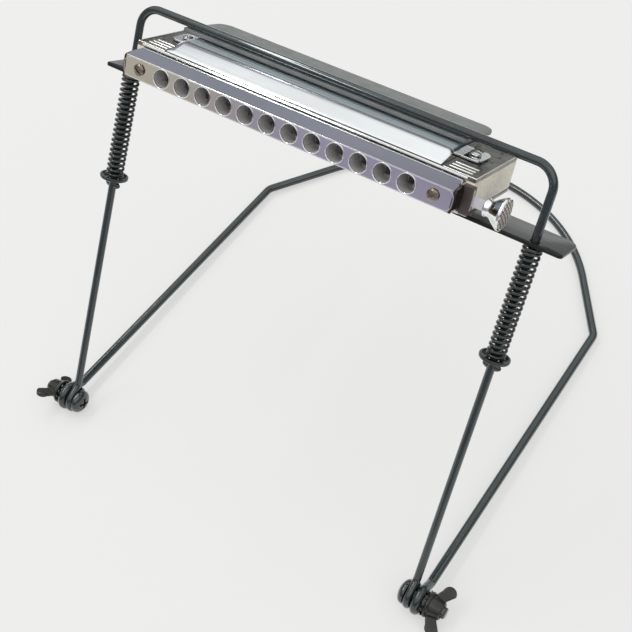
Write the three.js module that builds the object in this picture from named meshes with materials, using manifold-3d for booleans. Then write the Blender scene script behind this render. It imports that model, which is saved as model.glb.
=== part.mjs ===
// Harmonica holder: a wire neck yoke and a wire front frame, hinged on two wing-nut bolts.
// A flat jaw slides on the frame's legs, and two springs push it up to clamp a chromatic harmonica.
// Millimetres, +Z up, +X along the hinge axis, +Y from the hinge to the neck loop.

import * as THREE from 'three';
import { mergeVertices } from 'three/addons/utils/BufferGeometryUtils.js';
import Module from 'manifold-3d';

const wasm = await Module();
wasm.setup();

// Fits and facets shared by all pieces
const fitGap = 0.3;
const cutOverrun = 2;
const wireSides = 10;
const bendSteps = 6;
const eyeSegments = 20;
const roundSides = 24;

// Front frame: an inverted U of enamelled wire with an eye formed at each end
const frameWire = 3.2;
const legSpacing = 175.3;
const legLength = 179.2;
const cornerRadius = 8;
const foldAngle = 61.2;

// Hinge: a domed bolt through both eyes, a toothed washer and a wing nut
const boltDiameter = 4.8;
const boltHeadDiameter = 10.4;
const boltHeadHeight = 3.4;
const boltEndLength = 1.6;
const recessWidth = 1.1;
const recessLength = 5.2;
const recessDepth = 1.5;
const recessTurn = 26;
const eyeBore = boltDiameter + 2 * fitGap;
const lockWasherDiameter = 10.6;
const lockWasherThickness = 1.1;
const lockWasherTeeth = 12;
const toothDepth = 1.3;
const toothRelief = 0.45;
const toothShares = [[0, 0], [0.12, 1], [0.52, 1], [0.64, 0]];
const toothReliefShare = 0.32;
const nutBaseDiameter = 10.8;
const nutTopDiameter = 7.4;
const nutLength = 6.4;
const nutFlangeHeight = 1.6;
const flangeShare = 0.5;
const flangeStepShare = 0.86;
const wingThickness = 2.2;
const wingTipRadius = 2.5;
const wingTipReach = 7.4;
const wingTipHeight = 5.6;
const wingRootHeight = 4.6;
const rightWingAngle = 20;
const leftWingAngle = 28;

// Neck yoke: two straight legs, a shoulder bend in each, and a round loop for the neck
const yokeWire = 3.8;
const yokeLegLength = 155.5;
const shoulderRadius = 6;
const loopStart = 72;
const loopRadius = 86.4;
const loopSteps = 20;
const restFlatDepth = 0.2;

// Clamp: the fixed strip under the top bar, the sliding jaw, its springs and their cups
const stripLength = 121;
const stripOffset = -6.2;
const stripDepth = 26.6;
const stripThickness = 1.5;
const stripCornerRadius = 5;
const jawEndReach = 11.05;
const jawEdge = 1.2;
const jawBackReach = 15.8;
const jawSheet = 1.4;
const jawBackCorner = 5;
const jawFrontCorner = 1.6;
const jawHeight = 153.3;
const springOuterDiameter = 7.4;
const springWire = 1.15;
const springTurns = 21;
const springSides = 5;
const springSteps = 8;
const cupHeight = 107.6;
const cupDiameter = 11.6;
const cupDepth = 3.2;
const cupSheet = 0.9;
const lugWidth = 7.4;
const lugThickness = 2.4;
const lugHeight = 3.4;

// Harmonica: a twelve-hole chromatic with a slide, held between the jaws with its mouth side tipped down
const holeCount = 12;
const holePitch = 9.4;
const harmonicaOffset = -5.2;
const harmonicaTip = 4;
const combLength = 143;
const combDepth = 35;
const combHeight = 10.4;
const chamberWidth = 6.6;
const chamberDepth = 27;
const mouthDepth = 9.2;
const mouthBackDistance = 13.8;
const reedPlateThickness = 1.2;
const reedSlotWidth = 2.3;
const reedSlotLength = 20;
const coverEndInset = 13.5;
const coverSheet = 0.8;
const coverFrontSetback = 1;
const coverBackSetback = 1.6;
const coverEndSlope = 2.5;
const coverTabLength = 8.4;
const coverTabWidth = 11;
const tabPlaceShare = 0.526;
const coverEndShare = 0.7;
const frontStepShare = 0.24;
const shoulderShare = 0.16;
const crownStartShare = 0.52;
const crownEndShare = 0.8;
const backRiseShare = 0.7;
const mouthLength = 139;
const mouthFaceHeight = 8;
const mouthBackHeight = 12.4;
const mouthHoleDiameter = 6.8;
const mouthEndRadius = 3;
const slideThickness = 0.8;
const slideHeight = 7.4;
const slideWindowWidth = 3.6;
const slideWindowHeight = 2.6;
const slideTravel = 4.5;
const channelSheet = 0.6;
const channelProjection = 3.2;
const channelWindowHeight = 6.2;
const buttonDiameter = 11.8;
const buttonLength = 8;
const buttonCrown = 1.1;
const buttonRim = 0.9;
const buttonNeckDiameter = 6.6;
const buttonNeckLength = 2.6;
const neckChamferShare = 0.8;
const neckWaistShare = 0.84;
const rimChamferShare = 0.9;
const tongueHeight = 3.6;
const tongueDepth = 4;
const screwHeadDiameter = 4.4;
const screwHeadHeight = 1;
const headCrownShare = 0.72;
const screwShankDiameter = 2.2;
const screwSlotWidth = 0.7;
const screwSlotDepth = 0.55;
const screwSlotTurn = 36;
const screwGrip = 5;
const screwReachShare = 0.75;
const mouthScrewInset = 7.6;

// Places worked out from the sizes above
const eyeMeanRadius = (wire) => (eyeBore + wire) / 2;
const eyeOuterRadius = (wire) => eyeBore / 2 + wire;
const legX = legSpacing / 2;
const yokeX = legX + frameWire / 2 + fitGap + yokeWire / 2;
const loopEndAngle = Math.acos(loopStart / loopRadius);
const loopCentreY = yokeLegLength
  + (yokeX - loopStart) / Math.tan(loopEndAngle) - loopRadius * Math.sin(loopEndAngle);
const loopReach = loopCentreY + loopRadius;
const hingeHeight = eyeOuterRadius(yokeWire) - restFlatDepth;
const yokeTilt = Math.asin((hingeHeight - yokeWire / 2 + restFlatDepth) / loopReach);
const frameLean = Math.PI / 2 - THREE.MathUtils.degToRad(foldAngle) + yokeTilt;
const jawLength = legSpacing + 2 * jawEndReach;
const coverLength = combLength - 2 * coverEndInset;
const jawFrontReach = frameWire / 2 + fitGap + jawEdge;
const stripTop = legLength - frameWire / 2 - fitGap;
const stripBottom = stripTop - stripThickness;
const combFrontY = -mouthBackDistance;
const coverFrontY = combFrontY + coverFrontSetback;
const coverBackY = combFrontY + combDepth - coverBackSetback;
const crownBackY = coverFrontY + (coverBackY - coverFrontY) * crownEndShare;
const tipAngle = THREE.MathUtils.degToRad(harmonicaTip);
const crownRise = crownBackY / 2 * Math.sin(tipAngle);
const harmonicaHeight = (stripBottom + jawHeight) / 2 - crownRise;
const harmonicaHalfHeight = ((stripBottom - jawHeight) / 2 - fitGap - crownRise) / Math.cos(tipAngle);
const plateTop = combHeight / 2 + fitGap + reedPlateThickness;
const coverFoot = plateTop + fitGap;
const mouthFrontY = combFrontY - fitGap - mouthDepth;
const channelDepth = 2 * channelSheet + slideThickness + 2 * fitGap;
const channelHeight = slideHeight + 2 * fitGap + 2 * channelSheet;
const slideY = combFrontY - fitGap - channelDepth / 2;
const channelEnd = mouthLength / 2 + channelProjection;
const buttonStart = channelEnd + slideTravel + fitGap;
const holePlace = (i) => (i - (holeCount - 1) / 2) * holePitch;
const mouthScrewX = mouthLength / 2 - mouthScrewInset;
const mouthScrewLength = mouthDepth + 2 * fitGap + screwGrip;
const coverScrewX = (coverLength + coverTabLength) / 2;
const coverScrewY = combFrontY + combDepth * tabPlaceShare;
const coverScrewSeat = coverFoot + coverSheet + fitGap;
const coverScrewLength = coverScrewSeat - combHeight / 2 * (1 - screwReachShare);

// Turns a closed three.js geometry into a solid
function solid(geometry) {
  const bare = geometry.clone();
  bare.deleteAttribute('normal');
  bare.deleteAttribute('uv');
  const merged = mergeVertices(bare, 1e-4);
  return new wasm.Manifold(new wasm.Mesh({
    numProp: 3,
    vertProperties: new Float32Array(merged.attributes.position.array),
    triVerts: new Uint32Array(merged.index.array),
  }));
}

function geometryOf(manifold) {
  const mesh = manifold.getMesh();
  const geometry = new THREE.BufferGeometry();
  geometry.setAttribute('position', new THREE.BufferAttribute(mesh.vertProperties, mesh.numProp));
  geometry.setIndex(new THREE.BufferAttribute(mesh.triVerts, 1));
  geometry.computeVertexNormals();
  return geometry;
}

const join = (first, ...others) => geometryOf(others.reduce((sum, g) => sum.add(solid(g)), solid(first)));
const cut = (first, ...tools) => geometryOf(tools.reduce((rest, g) => rest.subtract(solid(g)), solid(first)));

// A path of straight runs and round bends, with stations only where the wire turns
class WirePath extends THREE.Curve {
  constructor(stations) {
    super();
    this.stations = stations;
  }

  at(u) {
    const last = this.stations.length - 1;
    return this.stations[Math.min(Math.round(u * last), last)];
  }

  getPoint(t, target = new THREE.Vector3()) {
    return target.copy(this.at(t).point);
  }

  getPointAt(u, target = new THREE.Vector3()) {
    return target.copy(this.at(u).point);
  }

  getTangentAt(u, target = new THREE.Vector3()) {
    return target.copy(this.at(u).tangent);
  }
}

function bendStations(corner, before, after, radius, steps) {
  const into = corner.clone().sub(before).normalize();
  const out = after.clone().sub(corner).normalize();
  const turn = into.angleTo(out);
  const start = corner.clone().addScaledVector(into, -radius * Math.tan(turn / 2));
  const inward = out.clone().addScaledVector(into, -out.dot(into)).normalize();
  const centre = start.clone().addScaledVector(inward, radius);
  return Array.from({ length: steps + 1 }, (_, i) => {
    const angle = turn * i / steps;
    return {
      point: centre.clone().addScaledVector(inward, -radius * Math.cos(angle))
        .addScaledVector(into, radius * Math.sin(angle)),
      tangent: into.clone().multiplyScalar(Math.cos(angle)).addScaledVector(inward, Math.sin(angle)),
    };
  });
}

function wireSection(diameter, sides) {
  const section = new THREE.Shape();
  for (let i = 0; i < sides; i += 1) {
    const angle = (i + 0.5) / sides * 2 * Math.PI;
    const x = diameter / 2 * Math.cos(angle);
    const y = diameter / 2 * Math.sin(angle);
    if (i === 0) section.moveTo(x, y);
    else section.lineTo(x, y);
  }
  section.closePath();
  return section;
}

function wireAlong(stations, diameter, sides = wireSides) {
  return new THREE.ExtrudeGeometry(wireSection(diameter, sides), {
    steps: stations.length - 1,
    extrudePath: new WirePath(stations),
    curveSegments: 1,
  });
}

function endStation(point, towards) {
  return { point, tangent: towards.clone().sub(point).normalize() };
}

// An eye formed at a wire's end, standing round the hinge axis
function wireEye(wire, x) {
  return new THREE.TorusGeometry(eyeMeanRadius(wire), wire / 2, wireSides, eyeSegments)
    .rotateY(Math.PI / 2)
    .translate(x, 0, 0);
}

function boxBetween(low, high) {
  const size = new THREE.Vector3().subVectors(high, low);
  return new THREE.BoxGeometry(size.x, size.y, size.z)
    .translate((low.x + high.x) / 2, (low.y + high.y) / 2, (low.z + high.z) / 2);
}

const v3 = (x, y, z) => new THREE.Vector3(x, y, z);

// A rod or disc along X, from its lathe profile of [radius, place] pairs
function turnedAlongX(profile, segments = roundSides) {
  return new THREE.LatheGeometry(profile.map(([r, p]) => new THREE.Vector2(r, p)), segments)
    .rotateZ(-Math.PI / 2);
}

function frontFrameGeometry() {
  const low = eyeMeanRadius(frameWire);
  const left = v3(-legX, 0, low);
  const right = v3(legX, 0, low);
  const topLeft = v3(-legX, 0, legLength);
  const topRight = v3(legX, 0, legLength);
  const wire = wireAlong([
    endStation(left, topLeft),
    ...bendStations(topLeft, left, topRight, cornerRadius, bendSteps),
    ...bendStations(topRight, topLeft, right, cornerRadius, bendSteps),
    { point: right, tangent: v3(0, 0, -1) },
  ], frameWire);
  // Two staked lugs stop each spring cup on its leg
  const lugs = [-legX, legX].map((x) => {
    const outline = new THREE.Shape();
    outline.absellipse(0, 0, lugWidth / 2, lugHeight / 2, 0, 2 * Math.PI);
    return new THREE.ExtrudeGeometry(outline, {
      depth: lugThickness, bevelEnabled: false, curveSegments: bendSteps,
    })
      .rotateX(Math.PI / 2)
      .translate(x, lugThickness / 2, cupHeight - cupSheet - fitGap - lugHeight / 2);
  });
  return join(wire, wireEye(frameWire, -legX), wireEye(frameWire, legX), ...lugs);
}

function neckYokeGeometry() {
  const start = eyeMeanRadius(yokeWire);
  const bendLeft = v3(-yokeX, yokeLegLength, 0);
  const bendRight = v3(yokeX, yokeLegLength, 0);
  const arc = Array.from({ length: loopSteps + 1 }, (_, i) => {
    const angle = Math.PI - loopEndAngle - i / loopSteps * (Math.PI - 2 * loopEndAngle);
    return {
      point: v3(loopRadius * Math.cos(angle), loopCentreY + loopRadius * Math.sin(angle), 0),
      tangent: v3(Math.sin(angle), -Math.cos(angle), 0),
    };
  });
  const left = v3(-yokeX, start, 0);
  const right = v3(yokeX, start, 0);
  const wire = wireAlong([
    endStation(left, bendLeft),
    ...bendStations(bendLeft, left, arc[0].point, shoulderRadius, bendSteps),
    ...arc,
    ...bendStations(bendRight, arc[loopSteps].point, right, shoulderRadius, bendSteps),
    { point: right, tangent: v3(0, -1, 0) },
  ], yokeWire);
  const whole = join(wire, wireEye(yokeWire, -yokeX), wireEye(yokeWire, yokeX));
  // The wire is worn flat where the loop and the eyes rest on the table
  const floor = boxBetween(
    v3(-jawLength, -jawLength, -hingeHeight - eyeBore),
    v3(jawLength, loopReach + jawLength, -hingeHeight),
  ).rotateX(yokeTilt);
  return cut(whole, floor);
}

// Rounded plate outline in X and Y, with its own radius at the front and the back corners
function plateOutline(length, frontReach, backReach, rf, rb) {
  const x = length / 2;
  const front = -frontReach;
  const back = backReach;
  const outline = new THREE.Shape();
  outline.moveTo(-x + rf, front);
  outline.lineTo(x - rf, front);
  outline.absarc(x - rf, front + rf, rf, -Math.PI / 2, 0);
  outline.lineTo(x, back - rb);
  outline.absarc(x - rb, back - rb, rb, 0, Math.PI / 2);
  outline.lineTo(-x + rb, back);
  outline.absarc(-x + rb, back - rb, rb, Math.PI / 2, Math.PI);
  outline.lineTo(-x, front + rf);
  outline.absarc(-x + rf, front + rf, rf, Math.PI, 1.5 * Math.PI);
  return outline;
}

function plate(outline, bottom, thickness, curveSegments = bendSteps) {
  return new THREE.ExtrudeGeometry(outline, { depth: thickness, bevelEnabled: false, curveSegments })
    .translate(0, 0, bottom);
}

function upperStripGeometry() {
  return plate(
    plateOutline(stripLength, frameWire / 2, stripDepth - frameWire / 2, frameWire / 4, stripCornerRadius),
    stripBottom, stripThickness,
  ).translate(stripOffset, 0, 0);
}

function lowerJawGeometry() {
  const body = plate(
    plateOutline(jawLength, jawFrontReach, jawBackReach, jawFrontCorner, jawBackCorner),
    jawHeight - jawSheet, jawSheet,
  );
  const holes = [-legX, legX].map((x) => new THREE.CylinderGeometry(
    frameWire / 2 + fitGap, frameWire / 2 + fitGap, jawSheet + 2 * cutOverrun, roundSides,
  ).rotateX(Math.PI / 2).translate(x, 0, jawHeight));
  return cut(body, ...holes);
}

let leastTurnGap = Infinity;

// A compression spring on a leg: one tube whose ends stand square to the jaw and the cup
function legSpringGeometry(x) {
  const meanRadius = (springOuterDiameter - springWire) / 2;
  const bottom = cupHeight + fitGap;
  const top = jawHeight - jawSheet - fitGap;
  const low = bottom + springWire;
  const rise = top - springWire - low;
  const count = springTurns * springSteps;
  const coil = (i) => {
    const angle = i / springSteps * 2 * Math.PI;
    return v3(x + meanRadius * Math.cos(angle), meanRadius * Math.sin(angle), low + rise * i / count);
  };
  const centres = Array.from({ length: count + 1 }, (_, i) => coil(i));
  const path = [
    v3(centres[0].x, centres[0].y, bottom),
    ...centres,
    v3(centres[count].x, centres[count].y, top),
  ];
  leastTurnGap = Math.min(leastTurnGap, turnGap(centres));
  return tubeThrough(path, springWire / 2, springSides);
}

// The least gap between neighbouring turns, measured on the tube's centre points
function turnGap(centres) {
  let least = Infinity;
  for (let i = 0; i + springSteps / 2 < centres.length; i += 1) {
    for (let j = i + springSteps / 2; j < Math.min(i + 2 * springSteps, centres.length); j += 1) {
      least = Math.min(least, centres[i].distanceTo(centres[j]) - springWire);
    }
  }
  return least;
}

// One closed tube through a list of points, with a ring of corners at each
function tubeThrough(path, radius, sides) {
  const positions = [];
  const index = [];
  let normal = v3(1, 0, 0);
  path.forEach((point, i) => {
    const before = path[Math.max(i - 1, 0)];
    const after = path[Math.min(i + 1, path.length - 1)];
    const along = after.clone().sub(before).normalize();
    normal = normal.clone().addScaledVector(along, -normal.dot(along)).normalize();
    const side = along.clone().cross(normal);
    for (let k = 0; k < sides; k += 1) {
      const angle = k / sides * 2 * Math.PI;
      const corner = point.clone().addScaledVector(normal, radius * Math.cos(angle))
        .addScaledVector(side, radius * Math.sin(angle));
      positions.push(corner.x, corner.y, corner.z);
    }
  });
  const ring = (i, k) => i * sides + (k % sides);
  for (let i = 0; i < path.length - 1; i += 1) {
    for (let k = 0; k < sides; k += 1) {
      index.push(ring(i, k), ring(i, k + 1), ring(i + 1, k + 1));
      index.push(ring(i, k), ring(i + 1, k + 1), ring(i + 1, k));
    }
  }
  for (let k = 1; k < sides - 1; k += 1) {
    index.push(ring(0, 0), ring(0, k + 1), ring(0, k));
    index.push(ring(path.length - 1, 0), ring(path.length - 1, k), ring(path.length - 1, k + 1));
  }
  const geometry = new THREE.BufferGeometry();
  geometry.setAttribute('position', new THREE.Float32BufferAttribute(positions, 3));
  geometry.setIndex(index);
  geometry.computeVertexNormals();
  return geometry;
}

// A domed cup washer, open towards the spring
function springCupGeometry(x) {
  const outer = cupDiameter / 2;
  const bore = frameWire / 2 + fitGap;
  const rim = cupHeight + springWire;
  const floorTop = cupHeight;
  const floorBottom = cupHeight - cupSheet;
  const profile = [
    [bore, floorBottom],
    [outer - cupDepth / 2, floorBottom],
    [outer, cupHeight],
    [outer, rim],
    [outer - cupSheet, rim],
    [outer - cupSheet, floorTop + cupSheet / 2],
    [outer - cupDepth / 2, floorTop],
    [bore, floorTop],
    [bore, floorBottom],
  ];
  return new THREE.LatheGeometry(profile.map(([r, z]) => new THREE.Vector2(r, z)), roundSides)
    .rotateX(Math.PI / 2)
    .translate(x, 0, 0);
}

// The harmonica's pieces are drawn round its own middle, mouth side towards -Y

// A closed solid through outlines of [y, z] pairs, each at its own place along X.
// An outline starts low at the mouth side and goes up, back and down again.
function loftAlongX(sections) {
  const positions = [];
  const index = [];
  const size = sections[0].outline.length;
  sections.forEach(({ x, outline }) => outline.forEach(([y, z]) => positions.push(x, y, z)));
  for (let i = 0; i < sections.length - 1; i += 1) {
    for (let k = 0; k < size; k += 1) {
      const a = i * size + k;
      const b = i * size + ((k + 1) % size);
      index.push(a, b + size, b, a, a + size, b + size);
    }
  }
  const last = (sections.length - 1) * size;
  const outline = sections[0].outline.map(([y, z]) => new THREE.Vector2(y, z));
  THREE.ShapeUtils.triangulateShape(outline, []).forEach(([a, b, c]) => {
    index.push(a, c, b, last + a, last + b, last + c);
  });
  const geometry = new THREE.BufferGeometry();
  geometry.setAttribute('position', new THREE.Float32BufferAttribute(positions, 3));
  geometry.setIndex(index);
  return geometry;
}

// A hole for a cover screw, right through the body
function screwHole(x, y) {
  const hole = screwShankDiameter / 2 + fitGap;
  return new THREE.CylinderGeometry(hole, hole, harmonicaHalfHeight * 4, roundSides / 2)
    .rotateX(Math.PI / 2)
    .translate(x, y, 0);
}

// The two holes for the mouthpiece's screws, from in front of it back to a given place
function mouthScrewHoles(back) {
  const hole = screwShankDiameter / 2 + fitGap;
  const front = mouthFrontY - cutOverrun;
  return [-1, 1].map((side) => new THREE.CylinderGeometry(hole, hole, back - front, roundSides / 2)
    .translate(side * mouthScrewX, (front + back) / 2, 0));
}

function combGeometry() {
  const back = combFrontY + combDepth;
  const body = boxBetween(
    v3(-combLength / 2, combFrontY, -combHeight / 2), v3(combLength / 2, back, combHeight / 2),
  );
  const chambers = Array.from({ length: holeCount }, (_, i) => boxBetween(
    v3(holePlace(i) - chamberWidth / 2, combFrontY - cutOverrun, -combHeight / 2 - cutOverrun),
    v3(holePlace(i) + chamberWidth / 2, combFrontY + chamberDepth, combHeight / 2 + cutOverrun),
  ));
  const coverHoles = [-1, 1].map((side) => screwHole(side * coverScrewX, coverScrewY));
  const mouthHoles = mouthScrewHoles(combFrontY + screwGrip + fitGap);
  return cut(body, ...chambers, ...coverHoles, ...mouthHoles);
}

function reedPlateGeometry() {
  const low = combHeight / 2 + fitGap;
  const body = boxBetween(
    v3(-combLength / 2, combFrontY, low), v3(combLength / 2, combFrontY + combDepth, plateTop),
  );
  const slots = Array.from({ length: holeCount }, (_, i) => boxBetween(
    v3(holePlace(i) - reedSlotWidth / 2, combFrontY + (chamberDepth - reedSlotLength) / 2, low - cutOverrun),
    v3(holePlace(i) + reedSlotWidth / 2, combFrontY + (chamberDepth + reedSlotLength) / 2,
      plateTop + cutOverrun),
  ));
  const holes = [-1, 1].map((side) => screwHole(side * coverScrewX, coverScrewY));
  return cut(body, ...slots, ...holes);
}

// The cover's section: a steep front, a long round shoulder, a flat crown and a dipped back
function coverOutline(inset, share, overrun) {
  const front = coverFrontY + inset;
  const back = coverBackY + overrun;
  const foot = coverFoot - overrun;
  const top = harmonicaHalfHeight - inset;
  const rise = (heightShare) => coverFoot + (top - coverFoot) * heightShare;
  const reach = (depthShare) => front + (back - front) * depthShare;
  const shoulder = new THREE.QuadraticBezierCurve(
    new THREE.Vector2(front, rise(frontStepShare)),
    new THREE.Vector2(reach(shoulderShare), top),
    new THREE.Vector2(reach(crownStartShare), top),
  ).getPoints(bendSteps);
  const dip = new THREE.QuadraticBezierCurve(
    new THREE.Vector2(reach(crownEndShare), top),
    new THREE.Vector2(reach((crownEndShare + 1) / 2), top),
    new THREE.Vector2(back, rise(backRiseShare)),
  ).getPoints(bendSteps / 2);
  return [[front, foot], ...[...shoulder, ...dip].map((p) => (
    [p.x, coverFoot + (p.y - coverFoot) * share]
  )), [back, foot]];
}

function coverGeometry() {
  const half = coverLength / 2;
  const shell = (inset, overrun) => [
    { x: -half + inset, outline: coverOutline(inset, coverEndShare, overrun) },
    { x: -half + coverEndSlope + inset / 2, outline: coverOutline(inset, 1, overrun) },
    { x: half - coverEndSlope - inset / 2, outline: coverOutline(inset, 1, overrun) },
    { x: half - inset, outline: coverOutline(inset, coverEndShare, overrun) },
  ];
  const outer = loftAlongX(shell(0, 0));
  const inner = loftAlongX(shell(coverSheet, cutOverrun));
  const tabs = [-1, 1].map((side) => {
    const outerX = side * (half + coverTabLength);
    const innerX = side * (half - coverSheet / 2);
    const middle = combFrontY + combDepth * tabPlaceShare;
    return boxBetween(
      v3(Math.min(outerX, innerX), middle - coverTabWidth / 2, coverFoot),
      v3(Math.max(outerX, innerX), middle + coverTabWidth / 2, coverFoot + coverSheet),
    );
  });
  const shellSolid = solid(outer).subtract(solid(inner));
  const holes = [-1, 1].map((side) => screwHole(side * coverScrewX, coverScrewY));
  return geometryOf(holes.reduce(
    (rest, hole) => rest.subtract(solid(hole)),
    tabs.reduce((sum, tab) => sum.add(solid(tab)), shellSolid),
  ));
}


// A slotted pan-head screw along its own axis, head up, with its shank below the seat
function screwGeometry(length) {
  const head = screwHeadDiameter / 2;
  const shank = screwShankDiameter / 2;
  const body = new THREE.LatheGeometry([
    [0, -length], [shank, -length], [shank, 0], [head, 0], [head, screwHeadHeight / 2],
    [head * headCrownShare, screwHeadHeight], [0, screwHeadHeight],
  ].map(([r, y]) => new THREE.Vector2(r, y)), roundSides / 2);
  const slot = boxBetween(
    v3(-head - cutOverrun, screwHeadHeight - screwSlotDepth, -screwSlotWidth / 2),
    v3(head + cutOverrun, screwHeadHeight + cutOverrun, screwSlotWidth / 2),
  ).rotateY(THREE.MathUtils.degToRad(screwSlotTurn));
  return cut(body, slot);
}

function mouthpieceGeometry() {
  const half = mouthLength / 2;
  const back = combFrontY - fitGap;
  const outline = [
    [mouthFrontY, -mouthFaceHeight / 2], [mouthFrontY, mouthFaceHeight / 2],
    [back, mouthBackHeight / 2], [back, -mouthBackHeight / 2],
  ];
  const wedge = loftAlongX([{ x: -half, outline }, { x: half, outline }]);
  // Seen from the mouth side the ends are round-cornered
  const face = new THREE.Shape();
  const z = mouthFaceHeight / 2 + mouthEndRadius / 2;
  face.moveTo(-half + mouthEndRadius, -z);
  face.lineTo(half - mouthEndRadius, -z);
  face.absarc(half - mouthEndRadius, -z + mouthEndRadius, mouthEndRadius, -Math.PI / 2, 0);
  face.absarc(half - mouthEndRadius, z - mouthEndRadius, mouthEndRadius, 0, Math.PI / 2);
  face.absarc(-half + mouthEndRadius, z - mouthEndRadius, mouthEndRadius, Math.PI / 2, Math.PI);
  face.absarc(-half + mouthEndRadius, -z + mouthEndRadius, mouthEndRadius, Math.PI, 1.5 * Math.PI);
  const ends = new THREE.ExtrudeGeometry(face, {
    depth: mouthDepth + 2 * cutOverrun, bevelEnabled: false, curveSegments: bendSteps,
  }).rotateX(Math.PI / 2).translate(0, back + cutOverrun, 0);
  const holes = Array.from({ length: holeCount }, (_, i) => new THREE.CylinderGeometry(
    mouthHoleDiameter / 2, mouthHoleDiameter / 2, 2 * mouthDepth + 2 * cutOverrun, roundSides,
  ).translate(holePlace(i), mouthFrontY, 0));
  const channel = boxBetween(
    v3(-half + mouthEndRadius, back - channelDepth - fitGap, -channelHeight / 2 - fitGap),
    v3(half + cutOverrun, back + cutOverrun, channelHeight / 2 + fitGap),
  );
  return geometryOf([...holes, channel, ...mouthScrewHoles(combFrontY)].reduce(
    (rest, tool) => rest.subtract(solid(tool)), solid(wedge).intersect(solid(ends)),
  ));
}

// The slide's channel: a thin folded sheet open at the right end, with a window behind each hole
function slideChannelGeometry() {
  const left = -mouthLength / 2 + mouthEndRadius + fitGap;
  const outer = boxBetween(
    v3(left, slideY - channelDepth / 2, -channelHeight / 2),
    v3(channelEnd, slideY + channelDepth / 2, channelHeight / 2),
  );
  const inner = boxBetween(
    v3(left + channelSheet, slideY - slideThickness / 2 - fitGap, -slideHeight / 2 - fitGap),
    v3(channelEnd + cutOverrun, slideY + slideThickness / 2 + fitGap, slideHeight / 2 + fitGap),
  );
  const windows = Array.from({ length: holeCount }, (_, i) => boxBetween(
    v3(holePlace(i) - chamberWidth / 2, slideY - channelDepth, -channelWindowHeight / 2),
    v3(holePlace(i) + chamberWidth / 2, slideY + channelDepth, channelWindowHeight / 2),
  ));
  return cut(outer, inner, ...windows, ...mouthScrewHoles(combFrontY));
}

// The slide: a thin plate with an upper and a lower row of windows half a stroke apart
function slideGeometry() {
  const left = -mouthLength / 2 + mouthEndRadius + channelSheet + 2 * fitGap + slideTravel;
  const body = boxBetween(
    v3(left, slideY - slideThickness / 2, -slideHeight / 2),
    v3(channelEnd, slideY + slideThickness / 2, slideHeight / 2),
  );
  const tongue = boxBetween(
    v3(channelEnd - cutOverrun, slideY - slideThickness / 2, -tongueHeight / 2),
    v3(buttonStart + tongueDepth, slideY + slideThickness / 2, tongueHeight / 2),
  );
  const windows = [-1, 1].flatMap((row) => Array.from({ length: holeCount }, (_, i) => {
    const x = holePlace(i) + row * slideTravel / 2;
    const z = row * (slideWindowHeight / 2 + fitGap);
    return boxBetween(
      v3(x - slideWindowWidth / 2, slideY - slideThickness, z - slideWindowHeight / 2),
      v3(x + slideWindowWidth / 2, slideY + slideThickness, z + slideWindowHeight / 2),
    );
  }));
  // Long slots clear the two mouthpiece screws over the whole stroke
  const screwSlots = [-1, 1].map((side) => boxBetween(
    v3(side * mouthScrewX - screwShankDiameter / 2 - fitGap, slideY - slideThickness,
      -screwShankDiameter / 2 - fitGap),
    v3(side * mouthScrewX + screwShankDiameter / 2 + fitGap + slideTravel, slideY + slideThickness,
      screwShankDiameter / 2 + fitGap),
  ));
  const plateSolid = solid(body).add(solid(tongue));
  return geometryOf([...windows, ...screwSlots].reduce((rest, tool) => rest.subtract(solid(tool)), plateSolid));
}

function slideButtonGeometry() {
  const neck = buttonNeckDiameter / 2;
  const rim = buttonDiameter / 2;
  const start = buttonStart;
  const end = start + buttonLength;
  const knob = turnedAlongX([
    [0, start],
    [neck * neckChamferShare, start],
    [neck, start + buttonRim / 2],
    [neck, start + buttonNeckLength / 2],
    [neck * neckWaistShare, start + buttonNeckLength / 2],
    [neck * neckWaistShare, start + buttonNeckLength],
    [neck, start + buttonNeckLength + buttonRim / 2],
    [rim, end - buttonCrown - buttonRim],
    [rim, end - buttonCrown],
    [rim * rimChamferShare, end - buttonCrown / 2],
    [rim / 2, end - buttonCrown / 8],
    [0, end],
  ]).translate(0, slideY, 0);
  const socket = boxBetween(
    v3(start - cutOverrun, slideY - slideThickness / 2 - fitGap, -tongueHeight / 2 - fitGap),
    v3(start + tongueDepth + fitGap, slideY + slideThickness / 2 + fitGap, tongueHeight / 2 + fitGap),
  );
  return cut(knob, socket);
}

// Hinge pieces, drawn along X for the right side with the seat of each at zero

function hingeBoltGeometry() {
  const shank = boltDiameter / 2;
  const head = boltHeadDiameter / 2;
  const length = frameWire + fitGap + yokeWire + 3 * fitGap + lockWasherThickness + nutLength + boltEndLength;
  const dome = Array.from({ length: bendSteps + 1 }, (_, i) => {
    const angle = i / bendSteps * Math.PI / 2;
    return [head * Math.sin(angle), -boltHeadHeight * Math.cos(angle)];
  });
  const bolt = turnedAlongX([
    ...dome, [head, 0], [shank, 0], [shank, length - boltEndLength / 2],
    [shank - boltEndLength / 2, length], [0, length],
  ]);
  const arms = [0, Math.PI / 2].map((turn) => boxBetween(
    v3(-boltHeadHeight - cutOverrun, -recessLength / 2, -recessWidth / 2),
    v3(-boltHeadHeight + recessDepth, recessLength / 2, recessWidth / 2),
  ).rotateX(turn + THREE.MathUtils.degToRad(recessTurn)));
  return cut(bolt, ...arms);
}

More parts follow.
